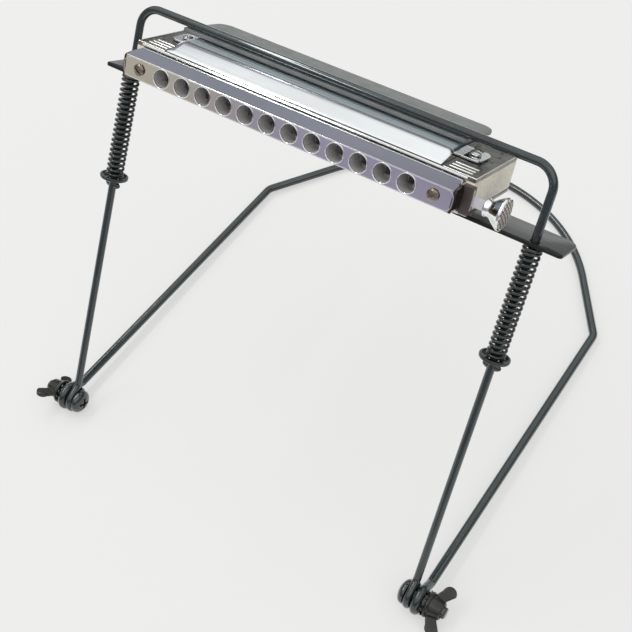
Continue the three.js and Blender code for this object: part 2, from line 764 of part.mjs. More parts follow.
function lockWasherGeometry() {
  const outer = lockWasherDiameter / 2;
  const root = outer - toothDepth;
  const star = new THREE.Shape();
  for (let i = 0; i < lockWasherTeeth; i += 1) {
    toothShares.forEach(([turnShare, heightShare], k) => {
      const angle = (i + turnShare) / lockWasherTeeth * 2 * Math.PI;
      const r = root + (outer - root) * heightShare;
      const x = r * Math.cos(angle);
      const y = r * Math.sin(angle);
      if (i === 0 && k === 0) star.moveTo(x, y);
      else star.lineTo(x, y);
    });
  }
  star.closePath();
  const bore = new THREE.Path();
  bore.absarc(0, 0, boltDiameter / 2 + fitGap, 0, 2 * Math.PI, true);
  star.holes.push(bore);
  const washer = new THREE.ExtrudeGeometry(star, {
    depth: lockWasherThickness, bevelEnabled: false, curveSegments: roundSides / 2,
  }).rotateY(Math.PI / 2);
  // Every second tooth is set back, as on a twisted star washer
  const reliefs = Array.from({ length: lockWasherTeeth / 2 }, (_, i) => boxBetween(
    v3(lockWasherThickness - toothRelief, root + toothRelief, -outer / 4),
    v3(lockWasherThickness + cutOverrun, outer + cutOverrun, outer / 4),
  ).rotateX((2 * i + toothReliefShare) / lockWasherTeeth * 2 * Math.PI));
  return cut(washer, ...reliefs);
}

function wingNutGeometry(wingAngle) {
  const base = nutBaseDiameter / 2;
  const top = nutTopDiameter / 2;
  const body = turnedAlongX([
    [0, 0], [base, 0], [base, nutFlangeHeight * flangeShare], [base * flangeStepShare, nutFlangeHeight],
    [top, nutLength - fitGap], [top - fitGap, nutLength], [0, nutLength],
  ]);
  const bore = boltDiameter / 2 + fitGap;
  const hole = turnedAlongX([[0, -cutOverrun], [bore, -cutOverrun],
    [bore, nutLength + cutOverrun], [0, nutLength + cutOverrun]], roundSides / 2);
  const wings = [0, Math.PI].map((turn) => {
    const outline = new THREE.Shape();
    outline.moveTo(fitGap, bore + fitGap);
    outline.lineTo(nutFlangeHeight, base * flangeStepShare);
    outline.lineTo(wingTipHeight - wingTipRadius, wingTipReach);
    outline.absarc(wingTipHeight, wingTipReach, wingTipRadius, Math.PI, 0, true);
    outline.lineTo(wingRootHeight, bore + fitGap);
    outline.closePath();
    return new THREE.ExtrudeGeometry(outline, {
      depth: wingThickness - 2 * fitGap, bevelEnabled: true, bevelThickness: fitGap, bevelSize: fitGap,
      bevelSegments: 1, curveSegments: bendSteps,
    }).translate(0, 0, -wingThickness / 2 + fitGap).rotateX(turn + wingAngle);
  });
  return geometryOf(solid(body).add(solid(wings[0])).add(solid(wings[1])).subtract(solid(hole)));
}

// Finishes
const enamel = () => new THREE.MeshStandardMaterial({ color: 0x1d2627, roughness: 0.3, metalness: 0.1 });
const greyEnamel = () => new THREE.MeshStandardMaterial({ color: 0x6f7473, roughness: 0.6 });
const blackSteel = () => new THREE.MeshStandardMaterial({ color: 0x141817, roughness: 0.35, metalness: 0.6 });
const chrome = () => new THREE.MeshStandardMaterial({ color: 0xd9dde2, roughness: 0.08, metalness: 1 });
const brass = () => new THREE.MeshStandardMaterial({ color: 0xb8a98a, roughness: 0.35, metalness: 1 });
const ivory = () => new THREE.MeshStandardMaterial({ color: 0xd8ceb8, roughness: 0.5 });

function piece(name, geometry, material) {
  const mesh = new THREE.Mesh(geometry, material);
  mesh.name = name;
  return mesh;
}

function screwPiece(name, length, x, y, z, turn) {
  const screw = piece(name, screwGeometry(length), chrome());
  screw.position.set(x, y, z);
  screw.rotation.x = turn;
  return screw;
}

function harmonica() {
  const group = new THREE.Group();
  const lowerPlate = piece('lower_reed_plate', reedPlateGeometry(), brass());
  lowerPlate.rotation.y = Math.PI;
  const lowerCover = piece('lower_cover', coverGeometry(), chrome());
  lowerCover.rotation.y = Math.PI;
  group.add(
    piece('comb', combGeometry(), ivory()),
    piece('upper_reed_plate', reedPlateGeometry(), brass()),
    lowerPlate,
    piece('upper_cover', coverGeometry(), chrome()),
    lowerCover,
    piece('mouthpiece', mouthpieceGeometry(), chrome()),
    piece('slide_channel', slideChannelGeometry(), chrome()),
    piece('slide', slideGeometry(), chrome()),
    piece('slide_button', slideButtonGeometry(), chrome()),
  );
  [['left', -1], ['right', 1]].forEach(([side, way]) => group.add(
    screwPiece(`mouthpiece_screw_${side}`, mouthScrewLength, way * mouthScrewX, mouthFrontY - fitGap, 0, Math.PI),
    screwPiece(`upper_cover_screw_${side}`, coverScrewLength,
      way * coverScrewX, coverScrewY, coverScrewSeat, Math.PI / 2),
    screwPiece(`lower_cover_screw_${side}`, coverScrewLength,
      way * coverScrewX, coverScrewY, -coverScrewSeat, -Math.PI / 2),
  ));
  return group;
}

function frontFrame() {
  const group = new THREE.Group();
  group.add(
    piece('front_frame', frontFrameGeometry(), enamel()),
    piece('upper_jaw_strip', upperStripGeometry(), greyEnamel()),
    piece('lower_jaw', lowerJawGeometry(), blackSteel()),
    piece('spring_left', legSpringGeometry(-legX), blackSteel()),
    piece('spring_right', legSpringGeometry(legX), blackSteel()),
    piece('spring_cup_left', springCupGeometry(-legX), blackSteel()),
    piece('spring_cup_right', springCupGeometry(legX), blackSteel()),
  );
  const instrument = harmonica();
  instrument.position.set(harmonicaOffset, 0, harmonicaHeight);
  instrument.rotation.x = tipAngle;
  group.add(instrument);
  group.rotation.x = -frameLean;
  return group;
}

function neckYoke() {
  const group = new THREE.Group();
  group.add(piece('neck_yoke', neckYokeGeometry(), enamel()));
  group.rotation.x = -yokeTilt;
  return group;
}

// The hardware of one hinge; the left side is the right side turned half round
function hinge(side, turn, wingAngle) {
  const group = new THREE.Group();
  const bolt = piece(`hinge_bolt_${side}`, hingeBoltGeometry(), blackSteel());
  bolt.position.x = legX - frameWire / 2 - fitGap;
  const washer = piece(`lock_washer_${side}`, lockWasherGeometry(), blackSteel());
  washer.position.x = yokeX + yokeWire / 2 + fitGap;
  const nut = piece(`wing_nut_${side}`, wingNutGeometry(wingAngle), blackSteel());
  nut.position.x = washer.position.x + lockWasherThickness + fitGap;
  group.add(bolt, washer, nut);
  group.rotation.z = turn;
  return group;
}

const holder = new THREE.Group();
holder.add(
  neckYoke(),
  frontFrame(),
  hinge('right', 0, THREE.MathUtils.degToRad(rightWingAngle)),
  hinge('left', Math.PI, THREE.MathUtils.degToRad(leftWingAngle)),
);
holder.position.z = hingeHeight;
holder.updateMatrixWorld(true);

// The origin lies under the middle of the holder's box
const middle = new THREE.Box3().setFromObject(holder).getCenter(new THREE.Vector3());
holder.position.x -= middle.x;
holder.position.y -= middle.y;
holder.updateMatrixWorld(true);
console.log(`least gap between the spring's turns: ${leastTurnGap.toFixed(2)} mm`);

export default holder;
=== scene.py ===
import math

import bmesh
import bpy
from mathutils import Matrix, Vector


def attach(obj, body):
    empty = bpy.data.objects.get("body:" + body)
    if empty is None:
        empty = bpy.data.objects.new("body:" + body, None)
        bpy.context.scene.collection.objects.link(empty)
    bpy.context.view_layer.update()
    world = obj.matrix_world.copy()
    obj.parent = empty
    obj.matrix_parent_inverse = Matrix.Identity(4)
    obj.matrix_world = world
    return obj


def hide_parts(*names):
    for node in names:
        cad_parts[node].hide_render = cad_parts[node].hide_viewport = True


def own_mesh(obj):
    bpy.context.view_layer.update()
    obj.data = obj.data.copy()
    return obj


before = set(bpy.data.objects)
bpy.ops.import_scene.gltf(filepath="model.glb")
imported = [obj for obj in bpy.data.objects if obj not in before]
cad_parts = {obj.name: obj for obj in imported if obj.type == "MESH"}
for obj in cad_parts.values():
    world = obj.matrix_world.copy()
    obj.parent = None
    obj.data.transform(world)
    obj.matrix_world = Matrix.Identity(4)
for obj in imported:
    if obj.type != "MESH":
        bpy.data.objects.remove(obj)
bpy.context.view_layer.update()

# Studio: the camera stands over the right front corner of the holder, close enough for a strong
# perspective. The holder lies on a pale table in a bright room with a darker wall behind it, so
# that its chrome has something to mirror.
IMAGE = 632
FOCAL_PIXELS = 1159.29
EYE = Vector((0.1849081, -0.2812876, 0.4300599))
RIGHT = Vector((0.82917414, 0.5566708, -0.05087116))
UP = Vector((-0.40898037, 0.66617802, 0.62365206))
LOOK = Vector((-0.38105814, 0.49631085, -0.78004502))
ROOM_STRENGTH = 0.8
TABLE_SIDES = 96
TABLE_RADIUS = 1.3
TABLE_Y = 0.3
TABLE_GLOW = 0.68


def stand(name, data):
    """A new object in the scene."""
    obj = bpy.data.objects.new(name, data)
    bpy.context.collection.objects.link(obj)
    return obj


camera_data = bpy.data.cameras.new("camera")
camera_data.sensor_width = 36
camera_data.lens = FOCAL_PIXELS / IMAGE * camera_data.sensor_width
camera_data.clip_start = 0.01
camera_data.clip_end = 50
camera = stand("camera", camera_data)
camera.matrix_world = Matrix((
    (RIGHT.x, UP.x, -LOOK.x, EYE.x),
    (RIGHT.y, UP.y, -LOOK.y, EYE.y),
    (RIGHT.z, UP.z, -LOOK.z, EYE.z),
    (0, 0, 0, 1)))
bpy.context.scene.camera = camera
bpy.context.scene.view_settings.view_transform = "Standard"


class Wave:
    """A socket whose value runs over a surface: arithmetic on it adds the nodes that do it."""

    def __init__(self, tree, socket):
        self.tree = tree
        self.socket = socket

    def make(self, kind, settings=None, sockets=None, out=0):
        """Adds a node with its settings and inputs, and returns one of its outputs."""
        node = self.tree.nodes.new(kind)
        for name, value in (settings or {}).items():
            if name == "stops":
                ramp = node.color_ramp
                while len(ramp.elements) > 1:
                    ramp.elements.remove(ramp.elements[-1])
                ramp.elements[0].position = value[0][0]
                ramp.elements[0].color = value[0][1]
                for place, colour in value[1:]:
                    ramp.elements.new(place).color = colour
            else:
                setattr(node, name, value)
        for key, value in (sockets or {}).items():
            if isinstance(value, Wave):
                self.tree.links.new(value.socket, node.inputs[key])
            else:
                node.inputs[key].default_value = value
        return Wave(self.tree, node.outputs[out])

    def maths(self, operation, first, second=0):
        return self.make("ShaderNodeMath", {"operation": operation}, {0: first, 1: second})

    def __add__(self, other):
        return self.maths("ADD", self, other)

    def __sub__(self, other):
        return self.maths("SUBTRACT", self, other)

    def __rsub__(self, other):
        return self.maths("SUBTRACT", other, self)

    def __mul__(self, other):
        return self.maths("MULTIPLY", self, other)

    def __truediv__(self, other):
        return self.maths("DIVIDE", self, other)

    __radd__ = __add__
    __rmul__ = __mul__

    def clipped(self, low, high):
        """0 below low, 1 above high and smooth between."""
        return self.make("ShaderNodeMapRange", {"interpolation_type": "SMOOTHSTEP"},
                         {"Value": self, "From Min": low, "From Max": high})

    def blend(self, first, second):
        """The first colour where this value is 0 and the second where it is 1."""
        return self.make("ShaderNodeMix", {"data_type": "RGBA"}, {0: self, 6: first, 7: second}, out=2)


def fix(shader, values):
    """Sets the inputs of a shader that are the same all over."""
    for name, value in values.items():
        shader.inputs[name].default_value = value


world = bpy.data.worlds.new("room")
bpy.context.scene.world = world
world.use_nodes = True
room = world.node_tree
room.nodes.clear()
start = Wave(room, None)
height = start.make("ShaderNodeSeparateXYZ", {}, {0: start.make("ShaderNodeTexCoord")}, out=2)
side = Wave(room, height.socket.node.outputs[0])
depth = Wave(room, height.socket.node.outputs[1])
level = (height + 1) * 0.5
walls = level.make("ShaderNodeValToRGB", {"stops": (
    (0.00, (0.80, 0.80, 0.79, 1)),
    (0.44, (0.62, 0.62, 0.62, 1)),
    (0.50, (0.17, 0.23, 0.26, 1)),
    (0.57, (0.19, 0.25, 0.28, 1)),
    (0.63, (0.40, 0.43, 0.49, 1)),
    (0.71, (0.36, 0.36, 0.43, 1)),
    (0.755, (1.28, 1.30, 1.28, 1)),
    (1.00, (1.5, 1.5, 1.48, 1)))}, {0: level})
# The wall in front is lavender, and beige at its left end: the mouthpiece's face mirrors it.
front_wall = ((0 - depth).clipped(0.25, 0.85) * (1 - height.clipped(0.25, 0.6))
              * height.clipped(-0.25, 0))
wall_colour = (0 - side).clipped(0.44, 0.58).blend((0.46, 0.42, 0.56, 1), (0.64, 0.59, 0.47, 1))
room_light = front_wall.blend(walls, wall_colour)
room_shader = start.make("ShaderNodeBackground", {}, {"Color": room_light, "Strength": ROOM_STRENGTH})
backdrop = start.make("ShaderNodeBackground", {}, {"Color": (0.82, 0.82, 0.81, 1), "Strength": 1.0})
seen = start.make("ShaderNodeLightPath")
room_mix = start.make("ShaderNodeMixShader", {}, {0: seen, 1: room_shader, 2: backdrop})
room.links.new(room_mix.socket, room.nodes.new("ShaderNodeOutputWorld").inputs[0])


def lamp(name, place, aim, size, watts, colour):
    """A rectangular lamp at a place, turned to what it is aimed at."""
    data = bpy.data.lights.new(name, "AREA")
    data.shape = "RECTANGLE"
    data.size, data.size_y = size
    data.energy = watts
    data.color = colour
    turn = (Vector(aim) - Vector(place)).to_track_quat("-Z", "Y").to_matrix().to_4x4()
    stand(name, data).matrix_world = Matrix.Translation(place) @ turn


lamp("key_lamp", (-0.93, -0.06, 1.70), (-0.10, 0, 0.05), (2.1, 0.11), 12.8, (0.95, 0.985, 1.0))
lamp("fill_lamp", (1.35, -0.75, 1.8), (0, 0, 0.05), (1.9, 1.9), 6.1, (1.0, 0.92, 0.82))

table_mesh = bpy.data.meshes.new("table")
table_rim = [(TABLE_RADIUS * math.cos(i / TABLE_SIDES * 2 * math.pi),
              TABLE_RADIUS * math.sin(i / TABLE_SIDES * 2 * math.pi) + TABLE_Y, 0)
             for i in range(TABLE_SIDES)]
table_mesh.from_pydata(table_rim, [], [list(range(TABLE_SIDES))])
table = stand("table", table_mesh)
table_finish = bpy.data.materials.new("pale table")
table_finish.use_nodes = True
table_tree = table_finish.node_tree
table_shader = table_tree.nodes["Principled BSDF"]
fix(table_shader, {"Base Color": (0.80, 0.805, 0.79, 1), "Roughness": 0.9, "Specular IOR Level": 0.1})
paper = Wave(table_tree, None).make("ShaderNodeEmission", {}, {"Color": (0.788, 0.784, 0.782, 1)})
looked_at = paper.make("ShaderNodeLightPath")
table_mix = paper.make("ShaderNodeMixShader", {}, {
    0: looked_at * TABLE_GLOW, 1: Wave(table_tree, table_shader.outputs[0]), 2: paper})
table_tree.links.new(table_mix.socket, table_tree.nodes["Material Output"].inputs[0])
table_mesh.materials.append(table_finish)

# Neck yoke: one length of thick steel wire in glossy black enamel. It has two straight legs, a
# shoulder bend in each and a round loop for the neck, and its ends are bent into eyes for the
# hinge bolts. It rests on the loop and the eyes, where it is worn a little flat.
MM = 0.001
HINGE = Vector((0, -0.1077935, 0.0063))
YOKE_TILT = math.radians(1.1795)
YOKE_PLACE = Matrix.Translation(HINGE) @ Matrix.Rotation(-YOKE_TILT, 4, "X") @ Matrix.Scale(MM, 4)
YOKE_WIRE = 3.8
YOKE_X = 91.45
SHOULDER_Y = 155.5
SHOULDER_RADIUS = 6
LOOP_START = 72
LOOP_RADIUS = 86.4
LOOP_STEPS = 72
EYE_BORE = 5.4
EYE_START = math.radians(55)
EYE_END = math.radians(340)


def finish(name):
    """A new material with its shader and the object's own coordinates."""
    material = bpy.data.materials.new(name)
    material.use_nodes = True
    tree = material.node_tree
    return material, tree.nodes["Principled BSDF"], Wave(tree, None).make("ShaderNodeTexCoord", out=3)


def noise(at, scale, detail=3, stretch=(1, 1, 1)):
    """Cloudy variation of a given scale, drawn out along an axis where stretch is below 1."""
    placed = at.make("ShaderNodeMapping", {}, {"Vector": at, "Scale": stretch})
    return at.make("ShaderNodeTexNoise", {}, {"Vector": placed, "Scale": scale, "Detail": detail})


def mottled(wave, low, high, spread=0.15):
    """A wave near one half as two colours that run into each other."""
    return wave.clipped(0.5 - spread, 0.5 + spread).blend(low, high)


def feed(shader, name, wave):
    shader.id_data.links.new(wave.socket, shader.inputs[name])


def relief(shader, wave, distance, strength=1.0):
    """Raises the surface a little where the value is high."""
    feed(shader, "Normal", wave.make("ShaderNodeBump", {}, {
        "Height": wave, "Distance": distance, "Strength": strength}))


def wire_enamel():
    material, shader, at = finish("black wire enamel")
    flow = noise(at, 70)
    peel = noise(at, 1100, 2)
    dust = noise(at, 2600, 1).clipped(0.66, 0.74)
    tone = mottled(flow, (0.008, 0.014, 0.015, 1), (0.014, 0.024, 0.025, 1))
    feed(shader, "Base Color", (dust * 0.5).blend(tone, (0.12, 0.12, 0.11, 1)))
    feed(shader, "Roughness", 0.17 + flow * 0.12 + dust * 0.25)
    relief(shader, peel, 0.00002, 0.5)
    fix(shader, {"Specular IOR Level": 0.25, "Coat Weight": 1.0, "Coat Roughness": 0.04})
    return material


def new_tree(name, sizes):
    """An empty Geometry Nodes tree with named inputs; returns it and its inputs as waves."""
    tree = bpy.data.node_groups.new(name, "GeometryNodeTree")
    tree.interface.new_socket("Geometry", in_out="INPUT", socket_type="NodeSocketGeometry")
    for label, kind, value in sizes:
        tree.interface.new_socket(label, in_out="INPUT", socket_type=kind).default_value = value
    tree.interface.new_socket("Finish", in_out="INPUT", socket_type="NodeSocketMaterial")
    tree.interface.new_socket("Geometry", in_out="OUTPUT", socket_type="NodeSocketGeometry")
    source = tree.nodes.new("NodeGroupInput")
    return tree, {socket.name: Wave(tree, socket) for socket in source.outputs if socket.name}


def close_tree(tree, shape, material):
    """Ends a tree with real geometry in one material."""
    real = shape.make("GeometryNodeRealizeInstances", {}, {"Geometry": shape})
    dressed = real.make("GeometryNodeSetMaterial", {}, {"Geometry": real, "Material": material})
    tree.links.new(dressed.socket, tree.nodes.new("NodeGroupOutput").inputs[0])


def baked(obj):
    """The plain mesh that an object's modifiers make. The object itself goes."""
    mesh = bpy.data.meshes.new_from_object(obj.evaluated_get(bpy.context.evaluated_depsgraph_get()))
    bpy.data.objects.remove(obj)
    return mesh


def grown(mesh, tree, values):
    """The plain mesh that a tree makes from a mesh."""
    obj = stand(tree.name, mesh)
    modifier = obj.modifiers.new(tree.name, "NODES")
    modifier.node_group = tree
    for item in tree.interface.items_tree:
        if item.in_out == "INPUT" and item.name in values:
            modifier[item.identifier] = values[item.name]
    return baked(obj)


WIRE_TREE, given = new_tree("drawn_wire", (
    ("Wire", "NodeSocketFloat", 3.2), ("Sides", "NodeSocketInt", 28)))
line = given["Geometry"].make("GeometryNodeMeshToCurve", {}, {"Mesh": given["Geometry"]})
section = line.make("GeometryNodeCurvePrimitiveCircle", {}, {
    "Resolution": given["Sides"], "Radius": given["Wire"] / 2})
drawn = line.make("GeometryNodeCurveToMesh", {}, {
    "Curve": line, "Profile Curve": section, "Fill Caps": True})
soft = drawn.make("GeometryNodeSetShadeSmooth", {}, {"Geometry": drawn, "Shade Smooth": True})
close_tree(WIRE_TREE, soft, given["Finish"])


def bend(before, corner, after, radius, steps=14):
    """Points of a round bend of the wire at a corner."""
    into = (corner - before).normalized()
    out = (after - corner).normalized()
    turn = into.angle(out)
    start = corner - into * radius * math.tan(turn / 2)
    inward = (out - into * out.dot(into)).normalized()
    centre = start + inward * radius
    angles = (turn * i / steps for i in range(steps + 1))
    return [centre - inward * radius * math.cos(a) + into * radius * math.sin(a) for a in angles]


def eye_points(wire, steps=44):
    """An eye bent at a wire's end, as (along the leg, across it), from the leg round to the tip."""
    radius = (EYE_BORE + wire) / 2
    touch = Vector((radius * math.cos(EYE_START), radius * math.sin(EYE_START), 0))
    slope = Vector((math.sin(EYE_START), -math.cos(EYE_START), 0))
    corner = touch + slope * (touch.y / math.cos(EYE_START))
    leg = corner + Vector((2 * radius, 0, 0))
    angles = (EYE_START + (EYE_END - EYE_START) * i / steps for i in range(steps + 1))
    ring = [Vector((radius * math.cos(a), radius * math.sin(a), 0)) for a in angles]
    return bend(leg, corner, touch, radius * 0.9, 8) + ring


def wire_mesh(points, wire, material, place, sides=28):
    """A wire of a given thickness through a list of points."""
    path = bpy.data.meshes.new("path")
    path.from_pydata([tuple(p) for p in points], [(i, i + 1) for i in range(len(points) - 1)], [])
    mesh = grown(path, WIRE_TREE, {"Wire": wire, "Sides": sides, "Finish": material})
    mesh.transform(place)
    return mesh


def piece(name, mesh, body, finish_slot, *nodes, coat=None, place=None):
    """A visible piece that rides on a body, in place of the named CAD nodes."""
    if coat is not None:
        mesh.materials.append(coat)
    if place is not None:
        mesh.transform(place)
    obj = stand(name, mesh)
    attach(obj, body)
    if nodes:
        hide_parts(*nodes)
    return obj


loop_angle = math.acos(LOOP_START / LOOP_RADIUS)
loop_centre = (SHOULDER_Y + (YOKE_X - LOOP_START) / math.tan(loop_angle)
               - LOOP_RADIUS * math.sin(loop_angle))
loop_sweep = math.pi - 2 * loop_angle
arc = [Vector((-LOOP_RADIUS * math.cos(a), loop_centre + LOOP_RADIUS * math.sin(a), 0))
       for a in (loop_angle + loop_sweep * i / LOOP_STEPS for i in range(LOOP_STEPS + 1))]
left_shoulder = Vector((-YOKE_X, SHOULDER_Y, 0))
right_shoulder = Vector((YOKE_X, SHOULDER_Y, 0))
left_eye, right_eye = ([Vector((x, p.x, p.y)) for p in eye_points(YOKE_WIRE)]
                       for x in (-YOKE_X, YOKE_X))
yoke_points = (left_eye[::-1] + bend(left_eye[0], left_shoulder, arc[0], SHOULDER_RADIUS) + arc
               + bend(arc[-1], right_shoulder, right_eye[0], SHOULDER_RADIUS) + right_eye)
ENAMEL = wire_enamel()
yoke_mesh = wire_mesh(yoke_points, YOKE_WIRE, ENAMEL, YOKE_PLACE)
for vertex in yoke_mesh.vertices:
    vertex.co.z = max(vertex.co.z, 0)
piece("neck_yoke_wire", yoke_mesh, "yoke", "enamel", "neck_yoke")

# Front frame: an upside-down U of thinner wire in the same enamel, with an eye at each end. Below
# each spring the leg is staked into two small lugs that stop the spring's cup.
FRAME_LEAN = math.radians(90 - 61.2) + YOKE_TILT
FRAME_PLACE = Matrix.Translation(HINGE) @ Matrix.Rotation(-FRAME_LEAN, 4, "X") @ Matrix.Scale(MM, 4)
FRAME_WIRE = 3.2
LEG_X = 87.65
LEG_LENGTH = 179.2
CORNER_RADIUS = 8
SIDES = ((-1, "left"), (1, "right"))
LUG = (7.4, 2.4, 3.4)
CUP_HEIGHT = 107.6
CUP_SHEET = 0.9
GAP = 0.3

left_foot, right_foot = ([Vector((x, -p.y, p.x)) for p in eye_points(FRAME_WIRE)]
                         for x in (-LEG_X, LEG_X))
left_corner = Vector((-LEG_X, 0, LEG_LENGTH))
right_corner = Vector((LEG_X, 0, LEG_LENGTH))
frame_points = (left_foot[::-1] + bend(left_foot[0], left_corner, right_corner, CORNER_RADIUS)
                + bend(left_corner, right_corner, right_foot[0], CORNER_RADIUS) + right_foot)
frame_mesh = wire_mesh(frame_points, FRAME_WIRE, ENAMEL, Matrix.Identity(4))
frame_form = bmesh.new()
frame_form.from_mesh(frame_mesh)
for side in (-1, 1):
    lug_place = (Matrix.Translation((side * LEG_X, 0, CUP_HEIGHT - CUP_SHEET - GAP - LUG[2] / 2))
                 @ Matrix.Diagonal((LUG[0] / 2, LUG[1] / 2, LUG[2] / 2, 1)))
    made = bmesh.ops.create_uvsphere(frame_form, u_segments=24, v_segments=14, radius=1,
                                     matrix=lug_place)
    for vertex in made["verts"]:
        for face in vertex.link_faces:
            face.smooth = True
frame_form.to_mesh(frame_mesh)
frame_form.free()
frame_mesh.transform(FRAME_PLACE)
piece("front_frame_wire", frame_mesh, "frame", "enamel", "front_frame")

# Upper strip: a flat steel strip welded under the frame's top bar, in matte grey enamel, with
# rounded back corners and edges softened by the enamel.
STRIP = {"length": 121, "front": 1.6, "back": 25, "front_corner": 0.8, "back_corner": 5}
STRIP_X = -6.2
STRIP_BOTTOM = 175.8
STRIP_THICKNESS = 1.5
SOFT = 0.35


def outline(sizes, inset, steps):
    """A rounded plate's outline, as (x, y) pairs running anticlockwise."""
    x = sizes["length"] / 2 - inset
    front, back = -sizes["front"] + inset, sizes["back"] - inset
    rf = max(sizes["front_corner"] - inset, 0.05)
    rb = max(sizes["back_corner"] - inset, 0.05)
    corners = ((x - rf, front + rf, rf, -90), (x - rb, back - rb, rb, 0),
               (-x + rb, back - rb, rb, 90), (-x + rf, front + rf, rf, 180))
    return [(cx + r * math.cos(math.radians(a + 90 * i / steps)),
             cy + r * math.sin(math.radians(a + 90 * i / steps)))
            for cx, cy, r, a in corners for i in range(steps + 1)]


def finished(form, name):
    """The mesh of a form, which is then freed."""
    mesh = bpy.data.meshes.new(name)
    form.to_mesh(mesh)
    form.free()
    return mesh


def smoothed(mesh, sharp_from):
    """The mesh shaded smooth, but for edges that turn by more than an angle in degrees."""
    mesh.polygons.foreach_set("use_smooth", [True] * len(mesh.polygons))
    mesh.set_sharp_from_angle(angle=math.radians(sharp_from))
    return mesh


def stacked(sizes, levels, steps, holes=(), hole_sides=20):
    """A closed plate through outlines at (inset, height) levels, with round holes from end to end."""
    form = bmesh.new()
    rings = [[form.verts.new((x, y, z)) for x, y in outline(sizes, inset, steps)]
             for inset, z in levels]
    for low, high in zip(rings, rings[1:]):
        for k in range(len(low)):
            form.faces.new((low[k], low[k - 1], high[k - 1], high[k]))
    tubes = []
    for cx, cy, r in holes:
        tubes.append([[form.verts.new((cx + r * math.cos(2 * math.pi * k / hole_sides),
                                       cy + r * math.sin(2 * math.pi * k / hole_sides), z))
                       for k in range(hole_sides)] for z in (levels[0][1], levels[-1][1])])
        first, last = tubes[-1]
        for k in range(hole_sides):
            form.faces.new((first[k], first[k - 1], last[k - 1], last[k]))
    for end, ring in ((0, rings[0]), (1, rings[-1])):
        loops = [ring] + [tube[end] for tube in tubes]
        edges = [form.edges.get((loop[k], loop[k - 1])) for loop in loops for k in range(len(loop))]
        bmesh.ops.triangle_fill(form, use_beauty=True, edges=edges)
    bmesh.ops.recalc_face_normals(form, faces=form.faces)
    return smoothed(finished(form, "plate"), 40)


def soft_levels(foot, top):
    """The levels of a plate whose edges are eased by the enamel."""
    return ((SOFT, foot), (SOFT * 0.3, foot + SOFT * 0.3), (0, foot + SOFT),
            (0, top - SOFT), (SOFT * 0.3, top - SOFT * 0.3), (SOFT, top))


def strip_enamel():
    material, shader, at = finish("grey strip enamel")
    cloud = noise(at, 160)
    grain = noise(at, 1900, 2)
    feed(shader, "Base Color", mottled(cloud * 0.7 + grain * 0.3, (0.115, 0.125, 0.122, 1),
                                       (0.175, 0.18, 0.176, 1), 0.2))
    feed(shader, "Roughness", 0.42 + grain * 0.2)
    relief(shader, grain, 0.00003, 0.6)
    return material


strip_mesh = stacked(STRIP, soft_levels(STRIP_BOTTOM, STRIP_BOTTOM + STRIP_THICKNESS), 12)
piece("upper_strip", strip_mesh, "frame", "grey_enamel", "upper_jaw_strip", coat=strip_enamel(),
      place=FRAME_PLACE @ Matrix.Translation((STRIP_X, 0, 0)))

# Lower jaw: a flat bar of black enamelled steel with small round corners. Two holes near its front
# edge run on the frame's legs, and the harmonica stands on its top.
JAW = {"length": 197.4, "front": 3.1, "back": 15.8, "front_corner": 1.6, "back_corner": 5}
JAW_TOP = 153.3
JAW_SHEET = 1.4
JAW_FOOT = JAW_TOP - JAW_SHEET
LEG_HOLE = FRAME_WIRE / 2 + GAP


def jaw_enamel():
    material, shader, at = finish("black jaw enamel")
    cloud = noise(at, 55)
    peel = noise(at, 1300, 2)
    drawn = noise(at, 260, 4, (0.08, 1, 1))
    rub = (noise(at, 420, 5, (0.25, 1, 1)) * cloud).clipped(0.30, 0.42)
    tone = mottled(cloud, (0.010, 0.011, 0.011, 1), (0.018, 0.020, 0.020, 1))
    feed(shader, "Base Color", (rub * 0.2).blend(tone, (0.07, 0.072, 0.07, 1)))
    feed(shader, "Roughness", 0.24 + drawn * 0.16 + rub * 0.18)
    relief(shader, peel + drawn * 0.5, 0.00003, 0.4)
    fix(shader, {"Specular IOR Level": 0.1, "Coat Weight": 0.22, "Coat Roughness": 0.06})
    return material


jaw_mesh = stacked(JAW, soft_levels(JAW_FOOT, JAW_TOP), 12,
                   [(-LEG_X, 0, LEG_HOLE), (LEG_X, 0, LEG_HOLE)])
piece("lower_jaw_bar", jaw_mesh, "jaw", "black_steel", "lower_jaw", coat=jaw_enamel(),
      place=FRAME_PLACE)

# Springs: a compression spring round each leg, from its cup up to the jaw, in glossy black. The
# first and last turns lie closed.
SPRING_DIAMETER = 7.4
SPRING_WIRE = 1.15
SPRING_TURNS = 21
CLOSED_PITCH = SPRING_WIRE * 1.04
SPRING_FOOT = CUP_HEIGHT + GAP
SPRING_TOP = JAW_FOOT - GAP


def spring_steel():
    material, shader, at = finish("black spring steel")
    cloud = noise(at, 300)
    grain = noise(at, 3200, 2)
    feed(shader, "Base Color", mottled(cloud, (0.008, 0.010, 0.010, 1), (0.020, 0.023, 0.022, 1)))
    feed(shader, "Roughness", 0.2 + cloud * 0.14 + grain * 0.08)
    relief(shader, grain, 0.00001, 0.5)
    fix(shader, {"Coat Weight": 0.3})
    return material


def spring_points(x, steps=26):
    """The spring's centre line round a leg, from its foot to its top."""
    low, high = SPRING_FOOT + SPRING_WIRE / 2, SPRING_TOP - SPRING_WIRE / 2
    radius = (SPRING_DIAMETER - SPRING_WIRE) / 2
    points = []
    for i in range(SPRING_TURNS * steps + 1):
        turns = i / steps
        open_turns = min(max(turns - 1, 0), SPRING_TURNS - 2)
        rise = (turns - open_turns) * CLOSED_PITCH
        rise += open_turns / (SPRING_TURNS - 2) * (high - low - 2 * CLOSED_PITCH)
        angle = 2 * math.pi * turns
        points.append(Vector((x + radius * math.cos(angle), radius * math.sin(angle), low + rise)))
    return points


